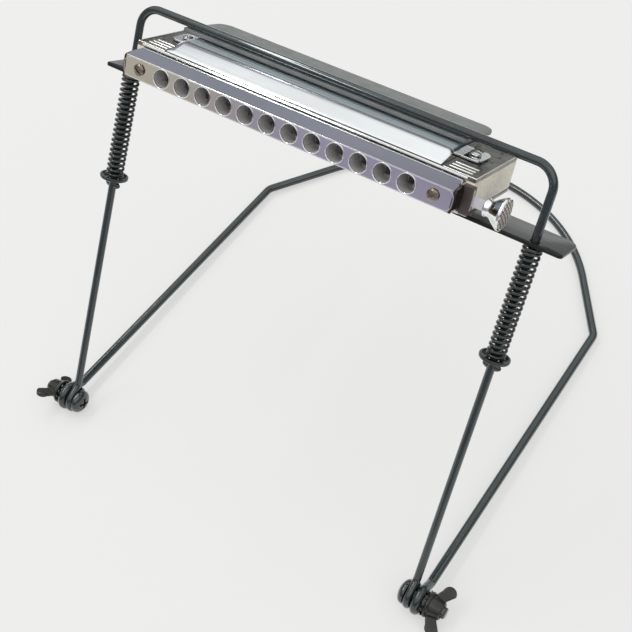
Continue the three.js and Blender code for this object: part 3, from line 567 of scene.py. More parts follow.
SPRING_STEEL = spring_steel()
for side, label in SIDES:
    coil = wire_mesh(spring_points(side * LEG_X), SPRING_WIRE, SPRING_STEEL, FRAME_PLACE, 12)
    spring = piece("leg_spring_" + label, coil, "frame", "black_steel", "spring_" + label)
    foot_point = FRAME_PLACE @ Vector((side * LEG_X, 0, SPRING_FOOT))
    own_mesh(spring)

# Spring cups: a small dished washer under each spring, in the same black steel. It rests on the
# leg's two lugs, and its raised edge keeps the spring's first turn in place.
CUP_DIAMETER = 11.6
CUP_DEPTH = 3.2


def turned(profile, steps=56):
    """A solid of revolution about the z axis, from (radius, height) pairs of a closed section."""
    form = bmesh.new()
    rings = []
    for k in range(steps):
        a = 2 * math.pi * k / steps
        rings.append([form.verts.new((r * math.cos(a), r * math.sin(a), z)) for r, z in profile])
    for k in range(steps):
        for j in range(len(profile)):
            form.faces.new((rings[k - 1][j - 1], rings[k][j - 1], rings[k][j], rings[k - 1][j]))
    bmesh.ops.remove_doubles(form, verts=form.verts, dist=1e-4)
    bmesh.ops.recalc_face_normals(form, faces=form.faces)
    return smoothed(finished(form, "turned"), 38)


def bezier(first, control, last, steps):
    """Points of a smooth bend from the first to the last, drawn towards the control point."""
    first, control, last = Vector(first), Vector(control), Vector(last)
    return [tuple(first * (1 - t) ** 2 + control * 2 * t * (1 - t) + last * t ** 2)
            for t in (i / steps for i in range(steps + 1))]


def rounded(profile, radius, steps=4):
    """A closed section with each corner rounded, or by less where its sides are short."""
    points = [Vector((x, y)) for x, y in profile]
    done = []
    for before, corner, after in zip(points[-1:] + points[:-1], points, points[1:] + points[:1]):
        into, out = before - corner, after - corner
        reach = min(radius, into.length * 0.45, out.length * 0.45)
        first, last = corner + into.normalized() * reach, corner + out.normalized() * reach
        done += bezier(first, corner, last, steps)
    return done


cup_edge = CUP_DIAMETER / 2
cup_section = [
    (LEG_HOLE, CUP_HEIGHT - CUP_SHEET), (cup_edge - CUP_DEPTH / 2, CUP_HEIGHT - CUP_SHEET),
    (cup_edge, CUP_HEIGHT), (cup_edge, CUP_HEIGHT + SPRING_WIRE),
    (cup_edge - CUP_SHEET, CUP_HEIGHT + SPRING_WIRE),
    (cup_edge - CUP_SHEET, CUP_HEIGHT + CUP_SHEET / 2),
    (cup_edge - CUP_DEPTH / 2, CUP_HEIGHT), (LEG_HOLE, CUP_HEIGHT)]
for side, label in SIDES:
    piece("dished_cup_" + label, turned(rounded(cup_section, 0.3)), "frame", "black_steel",
          "spring_cup_" + label, coat=SPRING_STEEL,
          place=FRAME_PLACE @ Matrix.Translation((side * LEG_X, 0, 0)))

# Comb: the cream block inside the harmonica, with the square channels that the reeds sound into.
# Its ends are in view between the reed plates.
TIP = math.radians(4)
HARP_X = -5.2
HARP_HEIGHT = 164.0924
HARP_HALF = 10.518
HARP_PLACE = FRAME_PLACE @ Matrix.Translation((HARP_X, 0, HARP_HEIGHT)) @ Matrix.Rotation(TIP, 4, "X")
ALONG = Vector((1, 0, 0))
ACROSS = (HARP_PLACE.to_3x3() @ Vector((0, 1, 0))).normalized()
UPWARD = (HARP_PLACE.to_3x3() @ Vector((0, 0, 1))).normalized()
WELD = 2e-6
FLAT = math.radians(0.5)
FOLD = 0.5
NEAR = 0.01
BROAD_FROM = 3.9


def bevel(obj, width, segments, angle):
    """Rounds an object's edges that turn by more than an angle in degrees."""
    edge = obj.modifiers.new("edge", "BEVEL")
    edge.width = width
    edge.segments = segments
    edge.limit_method = "ANGLE"
    edge.angle_limit = math.radians(angle)


def softened(node, width, broad=None):
    """A copy of a CAD piece with its flat faces joined and its edges rounded.

    Broad is (y, width): the outer lengthwise edges at that y are rounded by that width first."""
    form = bmesh.new()
    form.from_mesh(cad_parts[node].data)
    bmesh.ops.remove_doubles(form, verts=form.verts, dist=WELD)
    bmesh.ops.dissolve_limit(form, angle_limit=FLAT, verts=form.verts, edges=form.edges)
    if broad:
        home = HARP_PLACE.inverted()
        chosen = []
        for line in form.edges:
            a, b = (home @ vertex.co for vertex in line.verts)
            lengthwise = max(abs(a.y - broad[0]), abs(b.y - broad[0]), abs(a.z - b.z)) < NEAR
            if lengthwise and abs(a.z) > BROAD_FROM and line.calc_face_angle(0) > FOLD:
                chosen.append(line)
        bmesh.ops.bevel(form, geom=chosen, offset=broad[1] * MM, segments=4, profile=0.5,
                        affect="EDGES")
    obj = stand("copy", finished(form, node))
    bevel(obj, width * MM, 2, 30)
    result = baked(obj)
    result.materials.clear()
    return smoothed(result, 35)


def cream_comb():
    material, shader, at = finish("cream comb")
    cloud = noise(at, 60)
    grain = noise(at, 900, 5, (0.06, 1, 1))
    fleck = noise(at, 2400, 2).clipped(0.6, 0.72)
    tone = mottled(cloud * 0.5 + grain * 0.5, (0.60, 0.55, 0.46, 1), (0.78, 0.73, 0.64, 1))
    feed(shader, "Base Color", (fleck * 0.3).blend(tone, (0.36, 0.32, 0.24, 1)))
    feed(shader, "Roughness", 0.45 + grain * 0.2)
    relief(shader, grain, 0.00003, 0.6)
    return material


piece("comb_block", softened("comb", 0.25), "harmonica", "comb", "comb", coat=cream_comb())

# Reed plates: a dull metal plate on each face of the comb, with fine drawn lines. Each end has small
# rivets, three short raised ribs and a thin bright rod along its edges.
PLATE_TOP = 6.7
PLATE_INSET = 0.25
RIVETS = ((67.6, 14.1), (67.8, 6.7), (68.2, -3.2), (66.4, 18.6))
RIB_X = 64.2
RIB_ROWS = (-5.6, -8.2, -10.6)
RIB = {"length": 9, "front": 0.5, "back": 0.5, "front_corner": 0.45, "back_corner": 0.45}
ROD_START = 59
ROD_FRONT = -13.5
ROD_BACK = 20.9
ROD_WIRE = 0.5
WAYS = ((1, "upper"), (-1, "lower"))
# Limits in the chrome, in millimetres from the harmonica's middle: the ends of the covers' sheet and
# the depth, height and row of the mouth holes' insides. LINES_WEAKEN counts from where lines start.
SHEET_END = (56.8, 57.4)
LINES_WEAKEN = (12, 13)
BORE_DEPTH = (-23.1, -22.8)
BORE_HEIGHT = (3.35, 3.6)
BORE_ROW = (57, 58)


def along(at, axis):
    """The place along an axis, in metres."""
    return at.make("ShaderNodeVectorMath", {"operation": "DOT_PRODUCT"}, {0: at, 1: tuple(axis)}, out=1)


def from_middle(at, axis):
    """The place along an axis from the harmonica's middle, in millimetres."""
    return (along(at, axis) - HARP_PLACE.translation.dot(axis)) / MM


def ripple(place, pitch):
    """A smooth wave of a given pitch in millimetres, from 0 to 1."""
    return place.maths("SINE", place * (2 * math.pi / (pitch * MM))) * 0.5 + 0.5


def plate_metal():
    material, shader, at = finish("dull plate metal")
    cloud = noise(at, 120)
    drawn = noise(at, 700, 4, (0.03, 1, 1))
    spot = noise(at, 1500, 2).clipped(0.62, 0.7)
    tone = mottled(cloud * 0.6 + drawn * 0.4, (0.13, 0.12, 0.105, 1), (0.27, 0.26, 0.23, 1))
    feed(shader, "Base Color", (spot * 0.4).blend(tone, (0.16, 0.13, 0.09, 1)))
    feed(shader, "Roughness", 0.26 + drawn * 0.2 + spot * 0.15)
    fix(shader, {"Metallic": 1})
    relief(shader, ripple(along(at, ACROSS), 1.5) + drawn * 0.3, 0.00008, 0.5)
    return material


def chrome(name, tint, haze, line_pitch, line_height, metallic=1.0,
           lines_and_painted_reflection_from=None, painted_dark_end=None, bores=False):
    """Bright plating with a hazy film, faint smears and fine pressed or polished lines along x. The
    lines can start at a depth, from which the crown also gets a painted reflection in pale blue-grey;
    the ends can be painted dark as a painted reflection of the dark parts beside them, and the inside
    of the mouth holes dulled."""
    material, shader, at = finish(name)
    smear = noise(at, 45, 4, (0.4, 1, 1))
    polish = noise(at, 900, 3, (0.02, 1, 1))
    film = noise(at, 160, 5).clipped(0.45, 0.8)
    tone = mottled(smear, tuple(c * 0.86 for c in tint) + (1,), tint + (1,), 0.2)
    rough = haze + film * 0.05 + polish * 0.04
    depth = from_middle(at, ACROSS)
    aside = at.maths("ABSOLUTE", from_middle(at, ALONG))
    lines = ripple(along(at, ACROSS), line_pitch)
    fix(shader, {"Metallic": metallic})
    if lines_and_painted_reflection_from is not None:
        sheet = 1 - aside.clipped(*SHEET_END)
        # From here back the crown is tinted pale blue-grey and made half diffuse: a painted reflection
        # of the room in its ripples.
        crown = depth.clipped(lines_and_painted_reflection_from, lines_and_painted_reflection_from + 3) * sheet
        tone = crown.blend(tone, (0.56, 0.65, 0.69, 1))
        feed(shader, "Metallic", metallic - crown * 0.5)
        rough = rough + crown * 0.08
        weak = depth.clipped(*(lines_and_painted_reflection_from + d for d in LINES_WEAKEN)) * 0.8
        lines = lines * sheet * depth.clipped(lines_and_painted_reflection_from, lines_and_painted_reflection_from + 2.5) * (1 - weak)
    # Painted reflection: the end faces are painted dark brown, for the dark parts beside them that they
    # mirror.
    if painted_dark_end is not None:
        tone = aside.clipped(painted_dark_end, painted_dark_end + 0.3).blend(tone, (0.10, 0.08, 0.07, 1))
    if bores:
        lift = at.maths("ABSOLUTE", from_middle(at, UPWARD))
        inside = (depth.clipped(*BORE_DEPTH) * (1 - lift.clipped(*BORE_HEIGHT))
                  * (1 - aside.clipped(*BORE_ROW)))
        feed(shader, "Metallic", metallic - inside * 0.75)
        rough = rough + inside * 0.35
        tone = inside.blend(tone, (0.50, 0.49, 0.48, 1))
    feed(shader, "Base Color", tone)
    feed(shader, "Roughness", rough)
    relief(shader, lines + polish * 0.25, line_height * MM, 0.6)
    return material


def even(mesh):
    """The same mesh, with its large flat faces shaded flat up to their soft edges."""
    obj = stand("even", mesh)
    shading = obj.modifiers.new("shading", "WEIGHTED_NORMAL")
    shading.keep_sharp = True
    shading.weight = 100
    return baked(obj)


def joined(name, meshes, material):
    """One mesh from several."""
    form = bmesh.new()
    for mesh in meshes:
        form.from_mesh(mesh)
    result = finished(form, name)
    result.materials.clear()
    result.materials.append(material)
    for polygon in result.polygons:
        polygon.material_index = 0
    result.set_sharp_from_angle(angle=math.radians(35))
    return result


def facing(way):
    """The turn of a part of the upper side that brings it to the side that it is for."""
    return Matrix.Rotation(0 if way > 0 else math.pi, 4, "X")


PLATE_METAL = plate_metal()
RIB_METAL = chrome("rib metal", (0.74, 0.73, 0.70), 0.30, 3.0, 0.01)
rivet_section = [(0, 0), (0.62, 0), (0.6, 0.14), (0.42, 0.26), (0, 0.3)]
rib_levels = ((0, -0.1), (0, 0.12), (0.12, 0.26), (0.3, 0.32))
for way, label in WAYS:
    parts = [softened(label + "_reed_plate", 0.15)]
    reach = max(v.co.x for v in parts[0].vertices) / MM - HARP_PLACE.translation.x / MM - PLATE_INSET
    rod = ((ROD_START, ROD_FRONT), (reach, ROD_FRONT), (reach, ROD_BACK), (ROD_START, ROD_BACK))
    ribs = [wire_mesh([(side * x, y, way * (PLATE_TOP - 0.02)) for x, y in rod],
                      ROD_WIRE, RIB_METAL, HARP_PLACE, 10) for side in (-1, 1)]
    for side in (-1, 1):
        for x, y in RIVETS:
            rivet = turned(rivet_section, 20)
            seat = Matrix.Translation((side * x, y, way * PLATE_TOP)) @ facing(way)
            rivet.transform(HARP_PLACE @ seat)
            parts.append(rivet)
        for y in RIB_ROWS:
            rib = stacked(RIB, rib_levels, 4)
            seat = Matrix.Translation((side * RIB_X, y, way * PLATE_TOP)) @ facing(way)
            rib.transform(HARP_PLACE @ seat)
            ribs.append(rib)
    plate_mesh = even(joined(label + "_plate", parts, PLATE_METAL))
    piece(label + "_plate_metal", plate_mesh, "harmonica", "reed_brass", label + "_reed_plate")
    piece(label + "_plate_ribs", joined(label + "_ribs", ribs, RIB_METAL), "harmonica", "reed_brass")

# Covers: a chromed sheet over each reed plate. It slopes up from a foot behind the mouthpiece, has a
# round shoulder and a flat crown and is open behind. Its ends fall to a small tab that a screw holds.
COVER_FOOT = 7
COVER_SHEET = 0.8
COVER_HALF = 58
COVER_FRONT = -12.8
COVER_LIP = 0.9
COVER_BACK = 19.6
SLOPE_START = (-0.02, 0.03)
SLOPE_END = (0.202, 0.83)
SLOPE_STEPS = 5
CROWN_START = 0.46
CROWN_END = 0.8
CROWN_STEPS = 8
BACK_DIP = 0.7
END_SLOPE = 2.5
END_SHARE = 0.7
END_STEPS = 10
TAB_Y = -13.8 + 35 * 0.526
TAB_EASE = 0.15
TAB = {"length": 11, "front": 0, "back": 8.4 + COVER_SHEET / 2, "front_corner": 0.1, "back_corner": 2.4}


def cover_point(back, up):
    """A point (y, z) of the covers' section, as shares of its depth and of its height."""
    return COVER_FRONT + (COVER_BACK - COVER_FRONT) * back, COVER_FOOT + (HARP_HALF - COVER_FOOT) * up


def cover_section():
    """The cover's section as (y, z) pairs from its front foot to its back edge."""
    lip = COVER_FRONT - COVER_LIP
    front = [(lip, COVER_FOOT), (lip + 0.05, cover_point(0, 0.02)[1])]
    front += [cover_point(*(a + (b - a) * i / SLOPE_STEPS for a, b in zip(SLOPE_START, SLOPE_END)))
              for i in range(1, SLOPE_STEPS)]
    shoulder = bezier(cover_point(*SLOPE_END), cover_point(0.27, 1), cover_point(CROWN_START, 1), 18)
    crown = [cover_point(CROWN_START + (CROWN_END - CROWN_START) * i / CROWN_STEPS, 1)
             for i in range(1, CROWN_STEPS)]
    dip = bezier(cover_point(CROWN_END, 1), cover_point(0.9, 1), cover_point(1, BACK_DIP), 10)
    return front + shoulder + crown + dip


def cover_sheet():
    """The cover's thin sheet: its section along the harmonica, closed at each end by a slope."""
    section = cover_section()
    ends = [END_SLOPE * (1 - math.cos(math.pi / 2 * i / END_STEPS)) for i in range(END_STEPS + 1)]
    form = bmesh.new()
    rows = []
    for x in [d - COVER_HALF for d in ends] + [COVER_HALF - d for d in reversed(ends)]:
        into = min(1, (COVER_HALF - abs(x)) / END_SLOPE)
        share = END_SHARE + (1 - END_SHARE) * math.sin(math.pi / 2 * into)
        rows.append([form.verts.new((x, y, COVER_FOOT + (z - COVER_FOOT) * share)) for y, z in section])
    for low, high in zip(rows, rows[1:]):
        for j in range(len(section) - 1):
            form.faces.new((low[j], high[j], high[j + 1], low[j + 1]))
    for row, order in ((rows[0], 1), (rows[-1], -1)):
        feet = row[:1] + [form.verts.new((row[0].co.x, vertex.co.y, COVER_FOOT)) for vertex in row[1:]]
        for j in range(len(row) - 1):
            corners = list(dict.fromkeys((row[j], row[j + 1], feet[j + 1], feet[j])))
            if len(corners) > 2:
                form.faces.new(corners[::order])
    bmesh.ops.remove_doubles(form, verts=form.verts, dist=1e-4)
    bmesh.ops.recalc_face_normals(form, faces=form.faces)
    if sum(f.normal.z * f.calc_area() for f in form.faces) < 0:
        bmesh.ops.reverse_faces(form, faces=form.faces)
    obj = stand("sheet", finished(form, "sheet"))
    thick = obj.modifiers.new("thick", "SOLIDIFY")
    thick.thickness = COVER_SHEET
    thick.offset = -1
    shell = baked(obj)
    shell.polygons.foreach_set("use_smooth", [True] * len(shell.polygons))
    return shell


def cover_mesh(material, way):
    """A whole cover with its tabs, for the upper side (way 1) or the lower (-1)."""
    top = COVER_FOOT + COVER_SHEET
    parts = [cover_sheet()]
    for side in (-1, 1):
        tab = stacked(TAB, ((TAB_EASE, COVER_FOOT), (0, COVER_FOOT + TAB_EASE), (0, top - TAB_EASE),
                            (TAB_EASE, top)), 8)
        tab.transform(Matrix.Translation((side * (COVER_HALF - COVER_SHEET / 2), TAB_Y, 0))
                      @ Matrix.Rotation(-side * math.pi / 2, 4, "Z"))
        parts.append(tab)
    whole = joined("cover", parts, material)
    whole.transform(HARP_PLACE @ Matrix.Diagonal((1, 1, way, 1)))
    if way < 0:
        whole.flip_normals()
    return whole


# From 6 mm in front of the middle back, the covers' crown gets a painted reflection in pale blue-grey.
COVER_CHROME = chrome("cover chrome", (0.82, 0.84, 0.86), 0.05, 2.0, 0.17, lines_and_painted_reflection_from=-6)
for way, label in WAYS:
    piece(label + "_cover_sheet", cover_mesh(COVER_CHROME, way), "harmonica", "chrome",
          label + "_cover")

# Mouthpiece: a chromed bar in front of the comb, with a bevel above and below, rounded ends and a
# row of twelve round holes with fine raised rims. A thin bright bead runs round its face and along
# each of its back edges.
MOUTH_FACE = -23.3
MOUTH_EASE = 0.12
FACE_EASE = 0.14
HOLE_PITCH = 9.4
HOLE_DIAMETER = 6.8
HOLE_COUNT = 12
FACE_BEAD = {"x": 66.4, "z": 1.1, "radius": 2.6, "y": MOUTH_FACE + 0.34, "wire": 0.76}
BACK_BEAD = {"x": 68.6, "z": 6.3, "y": -14.2, "wire": 0.9}

REPEAT_TREE, given = new_tree("repeated", (
    ("Count", "NodeSocketInt", 12), ("Pitch", "NodeSocketFloat", 9.4),
    ("Turn", "NodeSocketFloat", 0.0)))
number = given["Geometry"].make("GeometryNodeInputIndex")
points = number.make("GeometryNodePoints", {}, {"Count": given["Count"]})
shift = (number - (given["Count"] - 1) / 2) * given["Pitch"]
offset = shift.make("ShaderNodeCombineXYZ", {}, {0: shift})
placed = points.make("GeometryNodeSetPosition", {}, {"Geometry": points, "Offset": offset})
spun = number.make("ShaderNodeCombineXYZ", {}, {0: number * given["Turn"]})
copies = placed.make("GeometryNodeInstanceOnPoints", {}, {
    "Points": placed, "Instance": given["Geometry"], "Rotation": spun})
close_tree(REPEAT_TREE, copies, given["Finish"])

# Its rounded ends are painted dark from 68.3 mm out: a painted reflection.
MOUTH_CHROME = chrome("mouthpiece chrome", (0.78, 0.78, 0.79), 0.07, 9.0, 0.01, painted_dark_end=68.3,
                      bores=True)
BEAD_CHROME = chrome("bead chrome", (0.80, 0.80, 0.80), 0.07, 9.0, 0.01)
hole_edge = HOLE_DIAMETER / 2
one_rim = turned([(hole_edge - 0.02, -0.1), (hole_edge - 0.02, 0.08), (hole_edge + 0.14, 0.17),
                  (hole_edge + 0.34, 0.10), (hole_edge + 0.42, -0.1)], 48)
one_rim.transform(Matrix.Rotation(math.pi / 2, 4, "X"))
rims = grown(one_rim, REPEAT_TREE, {"Count": HOLE_COUNT, "Pitch": HOLE_PITCH, "Finish": MOUTH_CHROME})
rims.transform(HARP_PLACE @ Matrix.Translation((0, MOUTH_FACE, 0)))
bar = softened("mouthpiece", MOUTH_EASE, (MOUTH_FACE, FACE_EASE))
mouth_mesh = joined("mouthpiece", [bar, rims], MOUTH_CHROME)
piece("mouthpiece_bar", even(mouth_mesh), "harmonica", "chrome", "mouthpiece")
bead_path = []
for quarter, x, z in ((0, 1, 1), (1, -1, 1), (2, -1, -1), (3, 1, -1)):
    for i in range(7):
        swing = math.pi / 2 * (quarter + i / 6)
        bead_path.append((x * FACE_BEAD["x"] + FACE_BEAD["radius"] * math.cos(swing), FACE_BEAD["y"],
                          z * FACE_BEAD["z"] + FACE_BEAD["radius"] * math.sin(swing)))
beads = [wire_mesh(bead_path + bead_path[:1], FACE_BEAD["wire"], BEAD_CHROME, HARP_PLACE, 12)]
for z in (-BACK_BEAD["z"], BACK_BEAD["z"]):
    ends = [(-BACK_BEAD["x"], BACK_BEAD["y"], z), (BACK_BEAD["x"], BACK_BEAD["y"], z)]
    beads.append(wire_mesh(ends, BACK_BEAD["wire"], BEAD_CHROME, HARP_PLACE, 12))
piece("mouthpiece_beads", joined("beads", beads, BEAD_CHROME), "harmonica", "chrome")

# Slide channel and slide: a folded chromed sheet behind the mouthpiece, and in it the thin slide
# that a spring-loaded press moves across the holes.
# The channel's ends are painted dark from 68.5 mm out: a painted reflection.
CHANNEL_CHROME = chrome("channel chrome", (0.74, 0.73, 0.77), 0.34, 1.2, 0.03, 0.5, painted_dark_end=68.5)
SLIDE_CHROME = chrome("slide chrome", (0.70, 0.69, 0.72), 0.38, 0.9, 0.03, 0.4)
piece("slide_channel_sheet", even(softened("slide_channel", 0.12)), "harmonica", "chrome",
      "slide_channel", coat=CHANNEL_CHROME)
piece("slide_blade", even(softened("slide", 0.1)), "slide", "chrome", "slide", coat=SLIDE_CHROME)

# Slide button: a turned chromed button on the slide's end. It flares from a waisted neck to a wide
# rim, and its domed face is cross-hatched.
BUTTON_START = 77.5
BUTTON_EDGE = 11.8 / 2
BUTTON_NECK = 6.6 / 2
FACE_EDGE = BUTTON_EDGE * 0.88
FACE_DOME = 0.84
HATCH_PITCH = 1.35
SLIDE_Y = -15.4


def hatched_face():
    """Chrome whose round face is cut with crossed grooves, with painted shade in the grooves and a
    painted highlight on their ridges.
    """
    material, shader, at = finish("cross-hatched button")
    a = along(at, (ACROSS + UPWARD).normalized())
    b = along(at, (ACROSS - UPWARD).normalized())
    ridges = at.maths("MINIMUM", ripple(a, HATCH_PITCH), ripple(b, HATCH_PITCH))
    dirt = noise(at, 900, 3)
    # Painted light: the ridges are painted pale as a highlight and the grooves near black as shade.
    cut = 1 - ridges.clipped(0.10, 0.45)
    tone = cut.blend((0.85, 0.78, 0.72, 1), (0.06, 0.042, 0.034, 1))
    feed(shader, "Base Color", (dirt.clipped(0.35, 0.7) * 0.4).blend(tone, (0.36, 0.31, 0.28, 1)))
    feed(shader, "Roughness", 0.24 + cut * 0.4)
    fix(shader, {"Metallic": 0.6})
    relief(shader, ridges, 0.0003, 1.0)
    return material


def dome(radius, base, rise, steps):
    """A dome's section from its rim to its middle, as (radius, height) pairs."""
    angles = (math.pi / 2 * i / steps for i in range(steps + 1))
    return [(radius * math.cos(a), base + rise * math.sin(a)) for a in angles]


button_section = [
    (0, 0), (BUTTON_NECK * 0.84, 0), (BUTTON_NECK, 0.5), (BUTTON_NECK * 0.84, 1.4),
    (BUTTON_NECK * 0.9, 2.4), (BUTTON_EDGE * 0.72, 4.0), (BUTTON_EDGE * 0.97, 6.2),
    (BUTTON_EDGE, 6.5), (BUTTON_EDGE, 7.1), (BUTTON_EDGE * 0.97, 7.35), (BUTTON_EDGE * 0.90, 7.35),
    (FACE_EDGE, 7.15), (0, 7.15)]
face_section = [(0, 7.0), (BUTTON_EDGE * 0.885, 7.0)] + dome(FACE_EDGE, 7.12, FACE_DOME, 10)
BUTTON_PLACE = (HARP_PLACE @ Matrix.Translation((BUTTON_START, SLIDE_Y, 0))
                @ Matrix.Rotation(math.pi / 2, 4, "Y"))
BUTTON_CHROME = chrome("button chrome", (0.84, 0.84, 0.85), 0.06, 3.0, 0.01)
piece("slide_button_body", turned(rounded(button_section, 0.35), 72), "slide", "chrome",
      "slide_button", coat=BUTTON_CHROME, place=BUTTON_PLACE)
piece("slide_button_face", turned(face_section, 72), "slide", "chrome", coat=hatched_face(),
      place=BUTTON_PLACE)

# Screws: slotted pan heads with their shanks. Two dark ones hold the mouthpiece, and four bright
# ones hold the covers by their tabs.
SCREW_HEAD = 4.4 / 2
SCREW_HEAD_HEIGHT = 1
SCREW_RIM = 0.35
SCREW_SHANK = 2.2 / 2
COVER_SCREW_X = 62.2
COVER_SCREW_SEAT = 8.1
COVER_SCREW_LENGTH = 6.8
MOUTH_SCREW_X = 61.9
MOUTH_SCREW_LENGTH = 14.8


def carved(mesh, cutters):
    """A mesh with other meshes cut out of it and its edges eased."""
    obj = stand("carved", mesh)
    tools = [stand("cutter", cutter) for cutter in cutters]
    for tool in tools:
        cut = obj.modifiers.new("cut", "BOOLEAN")
        cut.operation = "DIFFERENCE"
        cut.solver = "EXACT"
        cut.object = tool
    bevel(obj, 0.07, 2, 40)
    result = baked(obj)
    for tool in tools:
        bpy.data.objects.remove(tool)
    return smoothed(result, 40)


def block(size, place):
    """A box of a given size, centred on a place."""
    form = bmesh.new()
    bmesh.ops.create_cube(form, size=1, matrix=place @ Matrix.Diagonal((*size, 1)))
    return finished(form, "block")


def slotted_screw(length, turn):
    """A screw along z with its seat at height 0 and its head above."""
    body = turned([(0, -length), (SCREW_SHANK, -length), (SCREW_SHANK, 0), (SCREW_HEAD, 0)]
                  + dome(SCREW_HEAD, SCREW_RIM, SCREW_HEAD_HEIGHT - SCREW_RIM, 10), 48)
    slot = block((SCREW_HEAD * 2 + 1, 0.7, 1.1), Matrix.Rotation(math.radians(turn), 4, "Z")
                 @ Matrix.Translation((0, 0, SCREW_HEAD_HEIGHT)))
    return carved(body, [slot])


def screw_metal(name, low, high, rough):
    material, shader, at = finish(name)
    cloud = noise(at, 500)
    grain = noise(at, 2600, 2)
    feed(shader, "Base Color", mottled(cloud * 0.6 + grain * 0.4, low, high))
    feed(shader, "Roughness", rough + cloud * 0.12)
    fix(shader, {"Metallic": 1})
    relief(shader, grain, 0.00002, 0.6)
    return material


DARK_SCREW = screw_metal("dark screw", (0.17, 0.145, 0.11, 1), (0.34, 0.30, 0.24, 1), 0.22)
BRIGHT_SCREW = screw_metal("bright screw", (0.52, 0.52, 0.50, 1), (0.72, 0.72, 0.70, 1), 0.16)
for side, label in SIDES:
    seat = (Matrix.Translation((side * MOUTH_SCREW_X, MOUTH_FACE - GAP, 0))
            @ Matrix.Rotation(math.pi / 2, 4, "X"))
    piece("mouthpiece_screw_dark_" + label, slotted_screw(MOUTH_SCREW_LENGTH, 36 * side), "harmonica",
          "chrome", "mouthpiece_screw_" + label, coat=DARK_SCREW, place=HARP_PLACE @ seat)
    for way, cover in WAYS:
        seat = Matrix.Translation((side * COVER_SCREW_X, TAB_Y, way * COVER_SCREW_SEAT)) @ facing(way)
        piece(cover + "_cover_screw_bright_" + label, slotted_screw(COVER_SCREW_LENGTH, 62 * side),
              "harmonica", "chrome", cover + "_cover_screw_" + label, coat=BRIGHT_SCREW,
              place=HARP_PLACE @ seat)

# Hinge bolts: a domed head with a cross recess inside each leg, and a shank that runs out through
# the eyes of the yoke and the frame. They are blackened and glossy.
BOLT_SEAT = 85.75
BOLT_LENGTH = 103.05 - BOLT_SEAT
BOLT_HEAD = 10.4 / 2
BOLT_HEAD_HEIGHT = 3.4
BOLT_RIM = 0.7
BOLT_SHANK = 4.8 / 2
BOLT_TIP = 0.4
HINGE_PLACE = Matrix.Translation(HINGE) @ Matrix.Scale(MM, 4)


def bolt_steel():
    material, shader, at = finish("blackened bolt steel")
    cloud = noise(at, 220)
    grain = noise(at, 2000, 3)
    worn = (cloud * grain).clipped(0.32, 0.42)
    feed(shader, "Base Color", (worn * 0.6).blend((0.018, 0.021, 0.021, 1), (0.14, 0.14, 0.13, 1)))
    feed(shader, "Roughness", 0.14 + cloud * 0.12)
    fix(shader, {"Metallic": 0.4, "Coat Weight": 1.0, "Coat Roughness": 0.05})
    relief(shader, grain, 0.00003, 0.3)
    return material


BOLT_STEEL = bolt_steel()
bolt_section = dome(BOLT_HEAD, -BOLT_RIM, BOLT_RIM - BOLT_HEAD_HEIGHT, 14)[::-1] + [
    (BOLT_HEAD, 0), (BOLT_SHANK, 0), (BOLT_SHANK, BOLT_LENGTH - BOLT_TIP),
    (BOLT_SHANK - BOLT_TIP, BOLT_LENGTH), (0, BOLT_LENGTH)]
for side, label in SIDES:
    recess = [block((5.2, 1.1, 3.0), Matrix.Rotation(math.radians(angle), 4, "Z")
                    @ Matrix.Translation((0, 0, -BOLT_HEAD_HEIGHT))) for angle in (26, 116)]
    seat = Matrix.Translation((side * BOLT_SEAT, 0, 0)) @ Matrix.Rotation(side * math.pi / 2, 4, "Y")
    piece("domed_bolt_" + label, carved(turned(bolt_section, 56), recess), "yoke", "black_steel",
          "hinge_bolt_" + label, coat=BOLT_STEEL, place=HINGE_PLACE @ seat)

# Lock washers: a ring under each wing nut, in the bolts' blackened steel, with twelve outer teeth
# that twist out of its plane.
WASHER_MIDDLE = 93.65 + 1.1 / 2
WASHER_OUTER = 5.3
WASHER_BORE = 2.7
TOOTH_DEPTH = 1.3
TOOTH_COUNT = 12
ring_outer = WASHER_OUTER - TOOTH_DEPTH
tooth_form = bmesh.new()
tooth_rows = []
for r, width, twist in ((ring_outer - 0.3, 1.5, 0), (WASHER_OUTER - TOOTH_DEPTH * 0.5, 1.35, 14),
                        (WASHER_OUTER, 1.2, 26)):
    spin = Matrix.Rotation(math.radians(twist), 4, "Y")
    tooth_rows.append([tooth_form.verts.new(spin @ Vector((x, r, z * width / 2)))
                       for x, z in ((-0.24, -1), (0.24, -1), (0.24, 1), (-0.24, 1))])
for low, high in zip(tooth_rows, tooth_rows[1:]):
    for k in range(4):
        tooth_form.faces.new((low[k], low[k - 1], high[k - 1], high[k]))
for row in (tooth_rows[0], tooth_rows[-1]):
    tooth_form.faces.new(row)
bmesh.ops.recalc_face_normals(tooth_form, faces=tooth_form.faces)
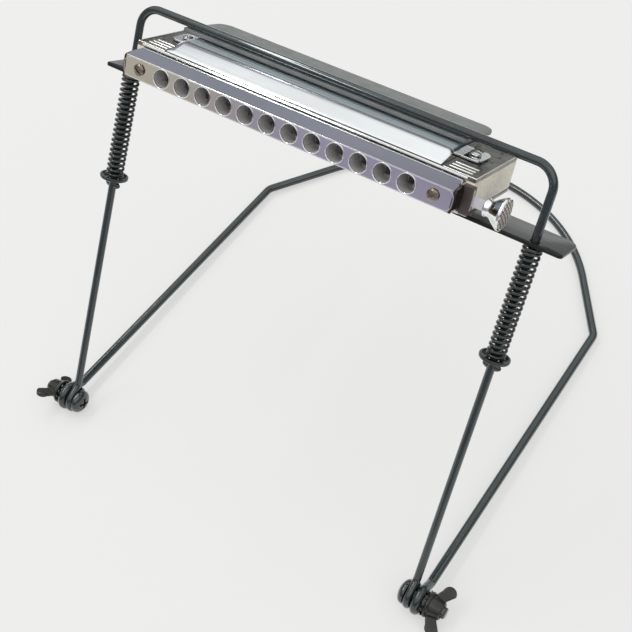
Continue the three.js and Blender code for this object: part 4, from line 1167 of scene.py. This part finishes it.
teeth = grown(finished(tooth_form, "tooth"), REPEAT_TREE, {
    "Count": TOOTH_COUNT, "Pitch": 0.0, "Turn": 2 * math.pi / TOOTH_COUNT, "Finish": BOLT_STEEL})
ring = turned(rounded([(WASHER_BORE, -0.5), (ring_outer, -0.5), (ring_outer, 0.5), (WASHER_BORE, 0.5)],
                      0.2), 56)
ring.transform(Matrix.Rotation(math.pi / 2, 4, "Y"))
washer_mesh = joined("washer", [ring, teeth], BOLT_STEEL)
for side, label in SIDES:
    piece("toothed_washer_" + label, washer_mesh.copy(), "yoke", "black_steel", "lock_washer_" + label,
          place=HINGE_PLACE @ Matrix.Translation((side * WASHER_MIDDLE, 0, 0)))

# Wing nuts: cast nuts with two ear-shaped wings, screwed on the bolts' outer ends. Their thick
# olive-black enamel rounds every edge.
NUT_VOXEL = 0.22


def cast_enamel():
    material, shader, at = finish("black cast enamel")
    cloud = noise(at, 180)
    skin = noise(at, 900, 3)
    worn = noise(at, 1400, 2).clipped(0.68, 0.76)
    tone = mottled(cloud, (0.010, 0.010, 0.008, 1), (0.020, 0.020, 0.015, 1))
    feed(shader, "Base Color", (worn * 0.4).blend(tone, (0.10, 0.10, 0.09, 1)))
    feed(shader, "Roughness", 0.26 + cloud * 0.16)
    relief(shader, skin, 0.00008, 0.6)
    fix(shader, {"Specular IOR Level": 0.2, "Coat Weight": 0.5, "Coat Roughness": 0.08})
    return material


def cast(node):
    """A copy of a CAD piece with the soft skin of a casting."""
    obj = stand("cast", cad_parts[node].data.copy())
    skin = obj.modifiers.new("skin", "REMESH")
    skin.mode = "VOXEL"
    skin.voxel_size = NUT_VOXEL * MM
    ease = obj.modifiers.new("ease", "SMOOTH")
    ease.factor = 0.5
    ease.iterations = 5
    result = baked(obj)
    result.materials.clear()
    result.polygons.foreach_set("use_smooth", [True] * len(result.polygons))
    return result


CAST_ENAMEL = cast_enamel()
for label in ("left", "right"):
    node = "wing_nut_" + label
    piece("cast_" + node, cast(node), node, "black_steel", node, coat=CAST_ENAMEL)
